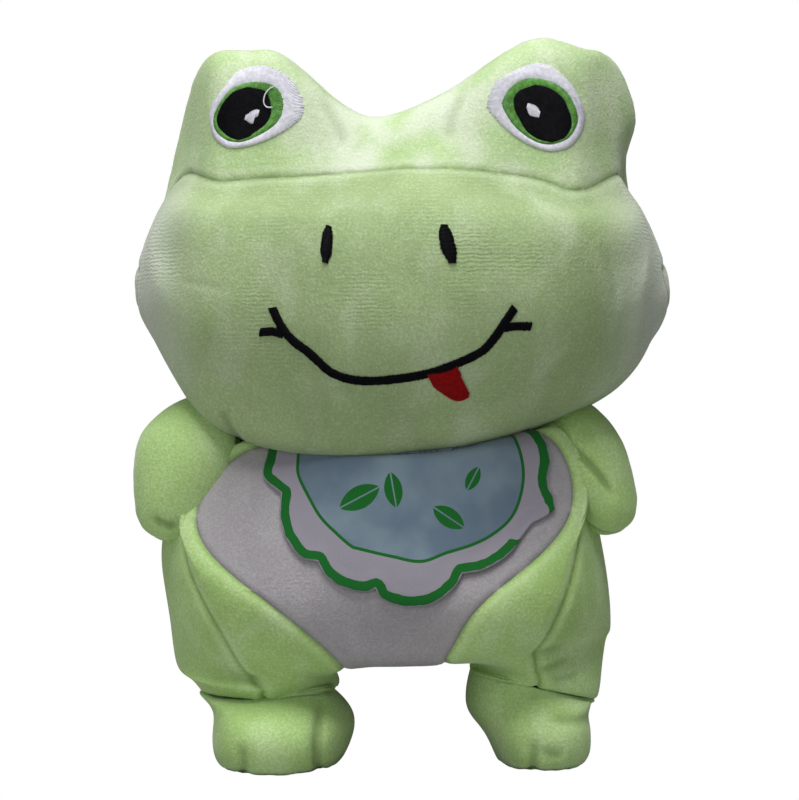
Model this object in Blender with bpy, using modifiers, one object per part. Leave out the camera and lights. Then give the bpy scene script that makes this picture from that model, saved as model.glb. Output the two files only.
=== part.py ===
"""A plush frog that stands on its two feet: a broad head, a stuffed body, stub arms and a bib.

Metres, +Z up. The face looks along -Y. The origin is on the floor, under the middle of the toy.
Every stuffed form is drawn as a coarse cage whose rounded surface passes through the drawn points.
That surface is parted along the sewing lines into thin plush panels, over a core of stuffing.
"""
import bpy
import bmesh
from math import cos, hypot, pi, radians, sin
from mathutils import Matrix, Vector
from mathutils.bvhtree import BVHTree

# Cloth and clearances
SKIN = 0.0016
PIECE_GAP = 0.0004
SEAM_GAP = 0.0006
ROUNDING_LEVELS = 1
FIT_ROUNDS = 12

# Head: half width at the cheeks, underside and height, depths from the neck axis
HEAD_HALF_WIDTH = 0.0895
HEAD_BASE_Z = 0.103
HEAD_HEIGHT = 0.142
HEAD_FRONT_DEPTH = 0.0575
HEAD_BACK_DEPTH = 0.0575
HEAD_FULLNESS_POWER = 2.4

# Each column of the head: place across, ridge, brow seam and underside heights, brow fullness
HEAD_COLUMN_SHARES = (
    (-0.93, 0.570, 0.490, 0.275, 1.0),
    (-0.82, 0.830, 0.625, 0.165, 1.0),
    (-0.70, 0.960, 0.655, 0.085, 1.15),
    (-0.45, 0.960, 0.672, 0.028, 1.25),
    (-0.22, 0.850, 0.680, 0.004, 1.10),
    (0.00, 0.824, 0.682, 0.000, 1.0),
    (0.22, 0.895, 0.680, 0.006, 1.10),
    (0.45, 0.985, 0.672, 0.052, 1.25),
    (0.69, 0.970, 0.655, 0.125, 1.15),
    (0.84, 0.905, 0.620, 0.195, 1.0),
    (0.94, 0.590, 0.500, 0.280, 1.0),
)
# Each row around a column: depth as a share of front (-) or back (+), then its height between
# the underside and the brow seam, or between the brow seam and the ridge
HEAD_ROW_SHARES = (
    (-0.09, "upper", 1.0),
    (-0.40, "upper", 0.72),
    (-0.62, "upper", 0.0),
    (-0.90, "lower", 0.85),
    (-1.00, "lower", 0.62),
    (-0.96, "lower", 0.37),
    (-0.76, "lower", 0.12),
    (-0.46, "lower", 0.0),
    (0.52, "lower", 0.0),
    (0.89, "lower", 0.28),
    (1.00, "lower", 0.72),
    (0.58, "upper", 0.52),
)
CHEEK_CAP_SHARE = 0.42
CHEEK_CAP_HEIGHT_SHARE = 0.415

# Neck ball, on which the head sits
NECK_Z = 0.1015
NECK_RADIUS = 0.030
NECK_SEGMENTS = 24
NECK_RINGS = 12
SOCKET_SEGMENTS = 32
SOCKET_RINGS = 16

# Body rings from the neck down: height in front and behind, height at the left and right side,
# middle, half width, front and back depth
BODY_RINGS = (
    {"z": 0.0992, "sides_z": (0.1006, 0.1012), "middle": 0.0000,
     "half": 0.0315, "front": 0.0310, "back": 0.0310},
    {"z": 0.0962, "sides_z": (0.1018, 0.1045), "middle": -0.0020,
     "half": 0.0520, "front": 0.0405, "back": 0.0380},
    {"z": 0.0800, "sides_z": (0.0830, 0.0845), "middle": -0.0060,
     "half": 0.0725, "front": 0.0475, "back": 0.0440},
    {"z": 0.0600, "sides_z": (0.0600, 0.0600), "middle": -0.0045,
     "half": 0.0755, "front": 0.0520, "back": 0.0470},
    {"z": 0.0440, "sides_z": (0.0450, 0.0450), "middle": -0.0030,
     "half": 0.0740, "front": 0.0500, "back": 0.0460},
    {"z": 0.0345, "sides_z": (0.0350, 0.0350), "middle": -0.0025,
     "half": 0.0710, "front": 0.0430, "back": 0.0400},
)
# Where the belly seam and the thigh seam cross each ring, as shares of its half width
BELLY_SEAM_SHARES = ((0.52, 0.52), (0.76, 0.78), (0.79, 0.84), (0.63, 0.62), (0.43, 0.37), (0.24, 0.26))
THIGH_SEAM_SHARES = ((0.82, 0.82), (0.94, 0.94), (0.91, 0.94), (0.77, 0.82), (0.73, 0.77), (0.68, 0.76))
BODY_BACK_SHARE = 0.80
BODY_SPINE_SHARES = (0.42, 0.42, 0.42, 0.42, 0.38, 0.27)
BODY_FULLNESS_POWER = 2.3
NECK_CAP_SHARE = 0.40
NECK_CAP_RISE = 0.002
CROTCH_DROP = 0.001

# Legs and feet, left then right: middle of the ankle, and the foot's reach
ANKLES = {
    "left": {"x": -0.0405, "y": -0.010, "toe": 0.0380, "heel": 0.0370, "out": 0.0235, "in": 0.0235},
    "right": {"x": 0.0430, "y": -0.004, "toe": 0.0360, "heel": 0.0320, "out": 0.0225, "in": 0.0215},
}
ANKLE_RADIUS = 0.0225
LEG_RING_Z = 0.0240
LEG_END_Z = 0.0140
LEG_END_SHARE = 0.90
LEG_ANGLES = (-50, 8, 75, 140, 210, 265)
ANKLE_BALL_RADIUS = 0.0255
ANKLE_BALL_Z = 0.0060
ANKLE_CLEARANCE = 0.0007
ANKLE_RIM_Z = 0.0160
ANKLE_SEAM_Z = 0.0205
DOME_RING_SHARE = 0.55

# Foot rings: height and share of the foot's full outline
SOLE_SEAM_Z = 0.0050
INSTEP_Z = 0.0110
SOLE_DEPTH = 0.0005
SOLE_FLAT_SHARE = 0.90
INSTEP_SHARE = 0.97
# Corners of the foot, as (out, forward) shares: heel, round the outside, toes, inside
FOOT_CORNER_SHARES = (
    (0.0, -1.0),
    (0.78, -0.70),
    (1.0, 0.05),
    (0.86, 0.80),
    (0.0, 1.0),
    (-0.86, 0.80),
    (-1.0, 0.05),
    (-0.78, -0.70),
)

# Arms: shoulder and tip ends of the middle line, widths across and fore and aft, the point at the
# shoulder that each is lifted about, and its room beside the body
ARMS = {
    "left": {
        "top": (-0.0700, -0.0085, 0.1130),
        "tip": (-0.0785, -0.0150, 0.0762),
        "half": 0.0165,
        "deep": 0.0170,
        "pivot": (-0.0600, -0.0110, 0.1090),
        "room": 0.0009,
    },
    "right": {
        "top": (0.0625, -0.0055, 0.1130),
        "tip": (0.0695, -0.0110, 0.0780),
        "half": 0.0150,
        "deep": 0.0165,
        "pivot": (0.0540, -0.0090, 0.1080),
        "room": 0.0012,
    },
}
# Rings along an arm: how far along, and how full
ARM_RING_SHARES = ((0.04, 0.42), (0.25, 0.84), (0.58, 1.0), (0.86, 0.74))
ARM_SIDES = 8

# Embroidery: satin stitch standing on the plush. Its places, and its sizes but for the widths of
# lines, are shares of the head's half width across and of the head's height up
THREAD_RISE = 0.0009
THREAD_GAP = 0.00088
STITCH_GAP = 0.0003
NORMAL_REACH = 0.006
EYE_SHARES = {
    "left": {"across": -0.5352, "up": 0.8261, "wide": 0.1721, "high": 0.0965},
    "right": {"across": 0.5050, "up": 0.8275, "wide": 0.1799, "high": 0.1049},
}
PUPIL_SHARES = {
    "left": {"across": -0.5754, "up": 0.8092},
    "right": {"across": 0.5296, "up": 0.8077},
}
PUPIL_SIZE_SHARES = {"wide": 0.1061, "high": 0.0648}
IRIS_SIZE_SHARES = {"wide": 0.1274, "high": 0.0754}
IRIS_SHIFT_SHARE = 0.25
GLINT_RADIUS = 0.0021
GLINT_OFFSET = 0.0010
EYE_SEGMENTS = 24
MIDDLE_RING_SHARE = 0.5
NOSTRIL_SHARES = {
    "left": {"across": -0.2637, "up": 0.4965},
    "right": {"across": 0.1698, "up": 0.4979},
}
NOSTRIL_LEANS = {"left": 4, "right": -16}
NOSTRIL_WIDE = 0.0018
NOSTRIL_HIGH = 0.0056
NOSTRIL_SEGMENTS = 12
MOUTH_HALF_WIDTH = 0.0013
MOUTH_LEFT_SHARE = -0.4078
MOUTH_RIGHT_SHARE = 0.3687
MOUTH_CORNER_SHARE = 0.2972
MOUTH_DROP_SHARE = 0.1113
MOUTH_RISE_RIGHT_SHARE = 0.0120
MOUTH_STEPS = 18
MOUTH_BOW_POWER = 2.2
PRONG_LENGTH = 0.0082
PRONG_IN_SHARE = 0.50
PRONG_UP_SHARE = 0.62
TONGUE_ACROSS_SHARE = 0.1765
TONGUE_WIDE = 0.0046
TONGUE_LONG = 0.0086
TONGUE_LEAN = 16
TONGUE_SEGMENTS = 12

# Bib: its middle, its reach to each side and down, and its scallops
BIB_X = 0.0030
BIB_TOP_Z = 0.0955
BIB_HALF_WIDTH = 0.0460
BIB_DROP = 0.0385
BIB_CLOTH = 0.0010
BIB_LIFT = 0.0012
BIB_NECK_FALL = 0.0055
BIB_SCALLOP = 0.0028
BIB_SCALLOPS = 7
BIB_SCALLOP_STEPS = 8
BIB_RING_SHARES = (0.30, 0.62, 0.84, 1.0)
BIB_HINGE_Y = -0.0330
BIB_HINGE_RISE = 0.0010

PART_NAME = "plush_frog"
FLOOR_BLOCK = 0.40

COLOURS = {
    "plush_green": ((0.52, 0.76, 0.36), 0.95),
    "plush_white": ((0.80, 0.79, 0.81), 0.95),
    "stuffing": ((0.86, 0.86, 0.84), 1.0),
    "thread_white": ((0.84, 0.83, 0.88), 0.55),
    "thread_green": ((0.09, 0.36, 0.07), 0.55),
    "thread_black": ((0.008, 0.008, 0.010), 0.55),
    "thread_red": ((0.42, 0.012, 0.010), 0.55),
    "bib_cloth": ((0.66, 0.76, 0.84), 0.85),
}


def clear_scene():
    for obj in list(bpy.data.objects):
        bpy.data.objects.remove(obj, do_unlink=True)


def make_collection(name):
    collection = bpy.data.collections.new(name)
    bpy.context.scene.collection.children.link(collection)
    return collection


def make_material(name):
    colour, roughness = COLOURS[name]
    material = bpy.data.materials.new(name)
    material.use_nodes = True
    shader = material.node_tree.nodes["Principled BSDF"]
    shader.inputs["Base Color"].default_value = (*colour, 1.0)
    shader.inputs["Roughness"].default_value = roughness
    shader.inputs["Metallic"].default_value = 0.0
    material.diffuse_color = (*colour, 1.0)
    return material


def mesh_object(name, bm, collection, material=None, smooth=True):
    mesh = bpy.data.meshes.new(name)
    bm.to_mesh(mesh)
    bm.free()
    if smooth:
        mesh.shade_smooth()
    obj = bpy.data.objects.new(name, mesh)
    collection.objects.link(obj)
    if material:
        mesh.materials.clear()
        mesh.materials.append(material)
    return obj


def put_origin(obj, point):
    """Move the object's origin to the joint it turns on, leaving its shape in place."""
    obj.data.transform(Matrix.Translation(-Vector(point)))
    obj.location = point


def limit_point(vert):
    """Where the rounded surface passes for one corner of an all-quad cage."""
    count = len(vert.link_edges)
    beside = sum((edge.other_vert(vert).co for edge in vert.link_edges), Vector())
    across = Vector()
    for loop in vert.link_loops:
        across += loop.link_loop_next.link_loop_next.vert.co
    return (vert.co * count**2 + beside * 4 + across) / (count * (count + 5))


def fit_cage(bm):
    """Push the cage out until its rounded surface passes through the points that were drawn."""
    drawn = [vert.co.copy() for vert in bm.verts]
    for _ in range(FIT_ROUNDS):
        reached = [limit_point(vert) for vert in bm.verts]
        for vert, goal, now in zip(bm.verts, drawn, reached):
            vert.co += goal - now


def rounded_form(name, bm, helpers):
    """The rounded surface of a cage, as a mesh whose faces keep the cage's panel numbers."""
    fit_cage(bm)
    bmesh.ops.recalc_face_normals(bm, faces=bm.faces[:])
    obj = mesh_object(name, bm, helpers)
    rounding = obj.modifiers.new("rounding", "SUBSURF")
    rounding.levels = ROUNDING_LEVELS
    rounding.render_levels = ROUNDING_LEVELS
    depsgraph = bpy.context.evaluated_depsgraph_get()
    surface = bpy.data.meshes.new_from_object(obj.evaluated_get(depsgraph))
    bpy.data.objects.remove(obj, do_unlink=True)
    return surface


def panel(name, surface, labels, collection, material):
    """One plush panel: its faces of the form, drawn back from the seams and given the cloth's wall."""
    bm = bmesh.new()
    bm.from_mesh(surface)
    bm.normal_update()
    outward = bm.verts.layers.float_vector.new("outward")
    for vert in bm.verts:
        vert[outward] = vert.normal
    other = [face for face in bm.faces if face.material_index not in labels]
    bmesh.ops.delete(bm, geom=other, context="FACES")
    for vert in [vert for vert in bm.verts if vert.is_boundary]:
        inside = sum((face.calc_center_median() - vert.co for face in vert.link_faces), Vector())
        inside -= vert[outward] * inside.dot(vert[outward])
        vert.co += inside.normalized() * SEAM_GAP / 2
    wall = bmesh.ops.extrude_face_region(bm, geom=bm.faces[:])
    for item in wall["geom"]:
        if isinstance(item, bmesh.types.BMVert):
            item.co -= item[outward] * SKIN
    for face in bm.faces:
        face.material_index = 0
    bmesh.ops.recalc_face_normals(bm, faces=bm.faces[:])
    return mesh_object(name, bm, collection, material)


def stuffing(name, surface, bare_labels, collection, material):
    """The core under the panels. Where no panel covers it, it reaches the form's own surface."""
    bm = bmesh.new()
    bm.from_mesh(surface)
    bm.normal_update()
    normals = [vert.normal.copy() for vert in bm.verts]
    for vert, normal in zip(bm.verts, normals):
        bare = all(face.material_index in bare_labels for face in vert.link_faces)
        vert.co -= normal * (0.0 if bare else SKIN + PIECE_GAP)
    for face in bm.faces:
        face.material_index = 0
    return mesh_object(name, bm, collection, material)


def cut_by(obj, cutter, name):
    cut = obj.modifiers.new(name, "BOOLEAN")
    cut.operation = "DIFFERENCE"
    cut.solver = "EXACT"
    cut.object = cutter


def ball_cutter(name, radius, point, cutters):
    bm = bmesh.new()
    bmesh.ops.create_uvsphere(bm, u_segments=SOCKET_SEGMENTS, v_segments=SOCKET_RINGS, radius=radius)
    bmesh.ops.translate(bm, verts=bm.verts[:], vec=point)
    return as_cutter(mesh_object(name, bm, cutters))


def as_cutter(obj):
    obj.hide_render = True
    obj.display_type = "WIRE"
    return obj


def add_quads(bm, rows, closed_across, label_of):
    """Faces between successive rows of corners; label_of(row, column) gives each face's panel."""
    for row in range(len(rows) - 1):
        upper = rows[row]
        lower = rows[row + 1]
        count = len(upper)
        for column in range(count if closed_across else count - 1):
            after = (column + 1) % count
            face = bm.faces.new((upper[column], upper[after], lower[after], lower[column]))
            face.material_index = label_of(row, column)


def add_twelve_cap(bm, loop, inner, labels):
    """Close a loop of 12 corners with a grid of nine faces round four inner corners."""
    for corner in range(4):
        start = corner * 3 + 1
        here = loop[start]
        before = loop[(start - 1) % 12]
        after = loop[(start + 1) % 12]
        second = loop[(start + 2) % 12]
        face = bm.faces.new((before, here, after, inner[corner]))
        face.material_index = labels["corner"][corner]
        face = bm.faces.new((inner[corner], after, second, inner[(corner + 1) % 4]))
        face.material_index = labels["side"][corner]
    face = bm.faces.new(inner)
    face.material_index = labels["middle"]


def fullness(share, power):
    """How deep a rounded form is at a share of its half width."""
    return max(0.0, 1 - abs(share) ** power) ** (1 / power)


# Head

FOREHEAD, FACE, BACK_LEFT, BACK_RIGHT, NECK_HOLE = range(5)
MIDDLE_COLUMN = 5
NECK_COLUMNS = (4, 5)


def head_point(column, row):
    across, ridge, seam, under, brow = HEAD_COLUMN_SHARES[column]
    depth, zone, height = HEAD_ROW_SHARES[row]
    full = fullness(across, HEAD_FULLNESS_POWER)
    if zone == "upper":
        level = seam + (ridge - seam) * height
        full *= brow if 0 < height < 1 else 1.0
    else:
        level = under + (seam - under) * height
    reach = HEAD_BACK_DEPTH if depth > 0 else HEAD_FRONT_DEPTH
    return Vector((across * HEAD_HALF_WIDTH, depth * full * reach, HEAD_BASE_Z + level * HEAD_HEIGHT))


def head_label(row, column):
    """Panel of the face between rows row and row + 1, in the strip after a column."""
    if row in (0, 1):
        return FOREHEAD
    if row == 7 and column in NECK_COLUMNS:
        return NECK_HOLE
    if row in (2, 3, 4, 5, 6, 7):
        return FACE
    return BACK_LEFT if column < MIDDLE_COLUMN else BACK_RIGHT


def head_surface(helpers):
    bm = bmesh.new()
    columns = len(HEAD_COLUMN_SHARES)
    rows = len(HEAD_ROW_SHARES)
    loops = [[bm.verts.new(head_point(column, row)) for row in range(rows)] for column in range(columns)]
    add_quads(bm, loops, True, lambda strip, row: head_label(row, strip))
    for end, back in ((0, BACK_LEFT), (columns - 1, BACK_RIGHT)):
        loop = loops[end]
        side = -1 if end == 0 else 1
        middle = sum((vert.co for vert in loop), Vector()) / rows
        middle.z = HEAD_BASE_Z + HEAD_HEIGHT * CHEEK_CAP_HEIGHT_SHARE
        inner = []
        for corner in range(4):
            point = middle.lerp(loop[corner * 3 + 1].co, CHEEK_CAP_SHARE)
            point.x = side * HEAD_HALF_WIDTH
            inner.append(bm.verts.new(point))
        labels = {"corner": (FOREHEAD, FACE, FACE, back), "side": (FACE, FACE, back, back), "middle": back}
        add_twelve_cap(bm, loop, inner, labels)
    return rounded_form("head_form", bm, helpers)


# Body

BELLY, THIGH_LEFT, THIGH_RIGHT, SIDE_LEFT, SIDE_RIGHT, BODY_HOLE = range(6)
BODY_COLUMNS = 12
BACK_COLUMN = 6
THIGH_COLUMN = 2


def body_point(ring, column):
    """Corner of a body ring. Column 0 is the front middle, 1 to 5 run round the right to 6, the back."""
    sizes = BODY_RINGS[ring]
    turned = column > BACK_COLUMN
    step = BODY_COLUMNS - column if turned else column
    side = 0 if turned else 1
    sign = -1 if turned else 1
    shares = (
        0.0,
        BELLY_SEAM_SHARES[ring][side],
        THIGH_SEAM_SHARES[ring][side],
        1.0,
        BODY_BACK_SHARE,
        BODY_SPINE_SHARES[ring],
        0.0,
    )
    share = shares[step]
    depth = fullness(share, BODY_FULLNESS_POWER)
    y = -sizes["front"] * depth if step <= THIGH_COLUMN else sizes["back"] * depth
    z = sizes["z"] + (sizes["sides_z"][side] - sizes["z"]) * share**2
    return Vector((sizes["middle"] + sign * share * sizes["half"], y, z))


def body_label(row, column):
    """Panel of the face below ring row, after a column, counted round the right from the front."""
    if column in (0, BODY_COLUMNS - 1):
        return BELLY
    if column == THIGH_COLUMN - 1:
        return THIGH_RIGHT
    if column == BODY_COLUMNS - THIGH_COLUMN:
        return THIGH_LEFT
    return SIDE_RIGHT if column < BACK_COLUMN else SIDE_LEFT


def leg_label(side, column):
    """Panel round a leg: the thigh panel in front, the side and back panel behind."""
    thigh, back = (THIGH_RIGHT, SIDE_RIGHT) if side == "right" else (THIGH_LEFT, SIDE_LEFT)
    return thigh if column in (0, 5) else back


def leg_corner(side, angle, radius, z):
    ankle = ANKLES[side]
    sign = 1 if side == "right" else -1
    turn = radians(angle)
    x = ankle["x"] + sign * sin(turn) * radius
    return Vector((x, ankle["y"] - cos(turn) * radius, z))


def body_surface(helpers):
    bm = bmesh.new()
    rings = [
        [bm.verts.new(body_point(ring, column)) for column in range(BODY_COLUMNS)]
        for ring in range(len(BODY_RINGS))
    ]
    add_quads(bm, rings, True, body_label)
    neck = rings[0]
    middle = sum((vert.co for vert in neck), Vector()) / BODY_COLUMNS
    inner = []
    for corner in range(4):
        point = middle.lerp(neck[corner * 3 + 1].co, NECK_CAP_SHARE)
        point.z += NECK_CAP_RISE
        inner.append(bm.verts.new(point))
    hole = {"corner": (BODY_HOLE,) * 4, "side": (BODY_HOLE,) * 4, "middle": BODY_HOLE}
    add_twelve_cap(bm, neck, inner, hole)
    last = rings[-1]
    crotch_z = last[0].co.z - CROTCH_DROP
    centre = bm.verts.new((last[0].co.x, (last[0].co.y + last[BACK_COLUMN].co.y) / 2, crotch_z))
    for side in ("right", "left"):
        order = (1, 2, 3, 4, 5) if side == "right" else (11, 10, 9, 8, 7)
        front_inner = last[order[0]]
        back_inner = last[order[4]]
        mid = bm.verts.new(((front_inner.co.x + back_inner.co.x) / 2, centre.co.y, crotch_z))
        face = bm.faces.new((last[0], front_inner, mid, centre))
        face.material_index = BELLY
        face = bm.faces.new((centre, mid, back_inner, last[BACK_COLUMN]))
        face.material_index = SIDE_RIGHT if side == "right" else SIDE_LEFT
        loops = [[last[column] for column in order] + [mid]]
        for z, radius in ((LEG_RING_Z, ANKLE_RADIUS), (LEG_END_Z, ANKLE_RADIUS * LEG_END_SHARE)):
            loops.append([bm.verts.new(leg_corner(side, angle, radius, z)) for angle in LEG_ANGLES])
        add_quads(bm, loops, True, lambda row, column, side=side: leg_label(side, column))
        foot_end = loops[-1]
        for corners in ((0, 1, 2, 3), (3, 4, 5, 0)):
            face = bm.faces.new([foot_end[corner] for corner in corners])
            face.material_index = BODY_HOLE
    return rounded_form("body_form", bm, helpers)


# Feet

UPPER, SOLE, ANKLE_HOLE = range(3)


def foot_corner(side, shares, scale, z):
    """Corner of a foot ring: out and forward shares of the foot's reach from the ankle's middle."""
    ankle = ANKLES[side]
    sign = 1 if side == "right" else -1
    out, forward = shares
    x = ankle["x"] + sign * out * scale * (ankle["out"] if out > 0 else ankle["in"])
    reach = ankle["toe"] if forward > 0 else ankle["heel"]
    return Vector((x, ankle["y"] - forward * scale * reach, z))


def ball_ring_radius(z):
    """How wide the ball in the ankle is at a height."""
    return (ANKLE_BALL_RADIUS**2 - (z - ANKLE_BALL_Z) ** 2) ** 0.5


def dome_ring(side, radius):
    """A ring of the ball in the ankle, at its own height on the ball."""
    height = ANKLE_BALL_Z + (ANKLE_BALL_RADIUS**2 - radius**2) ** 0.5
    corners = []
    for out, forward in FOOT_CORNER_SHARES:
        length = hypot(out, forward)
        sign = 1 if side == "right" else -1
        x = ANKLES[side]["x"] + sign * out / length * radius
        corners.append(Vector((x, ANKLES[side]["y"] - forward / length * radius, height)))
    return corners


def foot_surface(side, helpers):
    bm = bmesh.new()
    seam = ball_ring_radius(ANKLE_SEAM_Z)
    outline = [
        [foot_corner(side, shares, SOLE_FLAT_SHARE, -SOLE_DEPTH) for shares in FOOT_CORNER_SHARES],
        [foot_corner(side, shares, 1.0, SOLE_SEAM_Z) for shares in FOOT_CORNER_SHARES],
        [foot_corner(side, shares, INSTEP_SHARE, INSTEP_Z) for shares in FOOT_CORNER_SHARES],
        dome_ring(side, ball_ring_radius(ANKLE_RIM_Z)),
        dome_ring(side, seam),
        dome_ring(side, seam * DOME_RING_SHARE),
    ]
    rings = [[bm.verts.new(point) for point in ring] for ring in outline]
    labels = (SOLE, UPPER, UPPER, UPPER, ANKLE_HOLE)
    add_quads(bm, rings, True, lambda row, column: labels[row])
    top = ANKLE_BALL_Z + ANKLE_BALL_RADIUS
    for ring, z, label in ((rings[0], -SOLE_DEPTH, SOLE), (rings[-1], top, ANKLE_HOLE)):
        middle = sum((vert.co for vert in ring), Vector()) / len(ring)
        centre = bm.verts.new((middle.x, middle.y, z))
        for corner in range(0, len(ring), 2):
            before = ring[corner - 1]
            here = ring[corner]
            after = ring[(corner + 1) % len(ring)]
            face = bm.faces.new((before, here, after, centre))
            face.material_index = label
    return rounded_form("foot_form_" + side, bm, helpers)


# Arms

ARM_OUTER, ARM_INNER = range(2)


def arm_frame(side):
    """The arm's own directions: along it, across it away from the body, and fore and aft."""
    top = Vector(ARMS[side]["top"])
    tip = Vector(ARMS[side]["tip"])
    along = (tip - top).normalized()
    away = Vector((1 if side == "right" else -1, 0, 0))
    across = (away - along * away.dot(along)).normalized()
    return top, tip, across, along.cross(across)


def arm_surface(side, helpers):
    sizes = ARMS[side]
    top, tip, across, aside = arm_frame(side)
    bm = bmesh.new()
    rings = []
    for along, full in ARM_RING_SHARES:
        middle = top.lerp(tip, along)
        ring = []
        for corner in range(ARM_SIDES):
            turn = 2 * pi * (corner + 0.5) / ARM_SIDES
            reach = across * cos(turn) * sizes["half"] + aside * sin(turn) * sizes["deep"]
            ring.append(bm.verts.new(middle + reach * full))
        rings.append(ring)
    # Corners 0 to 3 and 5 to 7 lie round the arm; the outer panel has the half away from the body
    outer = (0, 1, 6, 7)
    add_quads(bm, rings, True, lambda row, column: ARM_OUTER if column in outer else ARM_INNER)
    for ring, end in ((rings[0], top), (rings[-1], tip)):
        centre = bm.verts.new(end)
        for corner in range(0, ARM_SIDES, 2):
            before = ring[corner - 1]
            here = ring[corner]
            after = ring[corner + 1]
            face = bm.faces.new((before, here, after, centre))
            face.material_index = ARM_OUTER if corner in (0, 2) else ARM_INNER
    return rounded_form("arm_form_" + side, bm, helpers)


# Embroidery and bib, laid on a form from the front


def surface_tree(surface):
    bm = bmesh.new()
    bm.from_mesh(surface)
    tree = BVHTree.FromBMesh(bm)
    bm.free()
    return tree


def lay_on(tree, bm, lift):
    """Carry flat work, drawn across and up, back onto a form, standing off it by lift."""
    for vert in bm.verts:
        start = Vector((vert.co.x, -HEAD_HALF_WIDTH, vert.co.z))
        point = tree.ray_cast(start, Vector((0, 1, 0)))[0]
        normal = Vector()
        for _, near, _, distance in tree.find_nearest_range(point, NORMAL_REACH):
            normal += near * (NORMAL_REACH - distance)
        vert.co = point + normal.normalized() * lift


def flat_rings(outlines, centre):
    """A flat patch from successive outlines; with a centre the first is closed towards it."""
    bm = bmesh.new()
    rings = [[bm.verts.new((x, 0, z)) for x, z in outline] for outline in outlines]
    for inner, outer in zip(rings, rings[1:]):
        for corner in range(len(inner)):
            after = (corner + 1) % len(inner)
            bm.faces.new((inner[corner], inner[after], outer[after], outer[corner]))
    if centre:
        middle = bm.verts.new((centre[0], 0, centre[1]))
        first = rings[0]
        for corner in range(len(first)):
            bm.faces.new((middle, first[(corner + 1) % len(first)], first[corner]))
    return bm


def face_place(shares):
    """Where on the face a place given in shares of the head lies, across and up."""
    return (shares["across"] * HEAD_HALF_WIDTH, HEAD_BASE_Z + shares["up"] * HEAD_HEIGHT)


def face_size(shares, spare=0.0):
    """Half width and half height on the face, with a spare length round them."""
    return (shares["wide"] * HEAD_HALF_WIDTH + spare, shares["high"] * HEAD_HEIGHT + spare)


def oval(x, z, wide, high, segments, lean=0):
    tilt = radians(lean)
    points = []
    for step in range(segments):
        turn = 2 * pi * step / segments
        across = wide * cos(turn)
        up = high * sin(turn)
        points.append((x + across * cos(tilt) - up * sin(tilt), z + across * sin(tilt) + up * cos(tilt)))
    return points


def blend_outline(inner, outer, share):
    return [(a[0] + (b[0] - a[0]) * share, a[1] + (b[1] - a[1]) * share) for a, b in zip(inner, outer)]


def raised_patch(name, bm, tree, collection, material, lift=THREAD_GAP, rise=THREAD_RISE):
    """Lay flat work on a form and give it its own thickness, outwards."""
    lay_on(tree, bm, lift)
    bmesh.ops.recalc_face_normals(bm, faces=bm.faces[:])
    facing = sum((face.normal.y * face.calc_area() for face in bm.faces))
    if facing > 0:
        bmesh.ops.reverse_faces(bm, faces=bm.faces[:])
    obj = mesh_object(name, bm, collection, material)
    wall = obj.modifiers.new("thickness", "SOLIDIFY")
    wall.thickness = rise
    wall.offset = 1.0
    return obj


def make_eye(side, tree, collection, materials):
    names = {key: "eye_" + key + "_" + side for key in ("white", "iris", "pupil", "glint")}
    eye_x, eye_z = face_place(EYE_SHARES[side])
    pupil_x, pupil_z = face_place(PUPIL_SHARES[side])
    iris_x = pupil_x + (eye_x - pupil_x) * IRIS_SHIFT_SHARE
    iris_z = pupil_z + (eye_z - pupil_z) * IRIS_SHIFT_SHARE

    glint_x = pupil_x + GLINT_OFFSET
    glint = oval(glint_x, pupil_z, GLINT_RADIUS, GLINT_RADIUS, EYE_SEGMENTS)
    hole = oval(glint_x, pupil_z, GLINT_RADIUS + STITCH_GAP, GLINT_RADIUS + STITCH_GAP, EYE_SEGMENTS)
    edge = oval(pupil_x, pupil_z, *face_size(PUPIL_SIZE_SHARES), EYE_SEGMENTS)
    black = flat_rings((hole, blend_outline(hole, edge, MIDDLE_RING_SHARE), edge), None)
    around = oval(pupil_x, pupil_z, *face_size(PUPIL_SIZE_SHARES, STITCH_GAP), EYE_SEGMENTS)
    green = flat_rings((around, oval(iris_x, iris_z, *face_size(IRIS_SIZE_SHARES), EYE_SEGMENTS)), None)
    inside = oval(iris_x, iris_z, *face_size(IRIS_SIZE_SHARES, STITCH_GAP), EYE_SEGMENTS)
    outside = oval(eye_x, eye_z, *face_size(EYE_SHARES[side]), EYE_SEGMENTS)
    white = flat_rings((inside, blend_outline(inside, outside, MIDDLE_RING_SHARE), outside), None)
    spark = flat_rings((glint,), (glint_x, pupil_z))
    made = {}
    for key, bm, thread in (
        ("white", white, "thread_white"),
        ("iris", green, "thread_green"),
        ("pupil", black, "thread_black"),
        ("glint", spark, "thread_white"),
    ):
        made[names[key]] = raised_patch(names[key], bm, tree, collection, materials[thread])
    return made


def ribbon(points, half_width):
    """A flat strip along a line of (across, up) points."""
    bm = bmesh.new()
    rails = []
    for index, (x, z) in enumerate(points):
        before = points[max(index - 1, 0)]
        after = points[min(index + 1, len(points) - 1)]
        along = Vector((after[0] - before[0], after[1] - before[1])).normalized()
        aside = (-along.y * half_width, along.x * half_width)
        low = bm.verts.new((x - aside[0], 0, z - aside[1]))
        high = bm.verts.new((x + aside[0], 0, z + aside[1]))
        rails.append((low, high))
    for (low, high), (next_low, next_high) in zip(rails, rails[1:]):
        bm.faces.new((low, next_low, next_high, high))
    return bm


def mouth_point(share):
    """The smile: a flat-bottomed bow between its two corners."""
    across = MOUTH_LEFT_SHARE + (MOUTH_RIGHT_SHARE - MOUTH_LEFT_SHARE) * share
    bow = fullness(2 * share - 1, MOUTH_BOW_POWER)
    up = MOUTH_CORNER_SHARE + MOUTH_RISE_RIGHT_SHARE * share - MOUTH_DROP_SHARE * bow
    return face_place({"across": across, "up": up})


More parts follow.
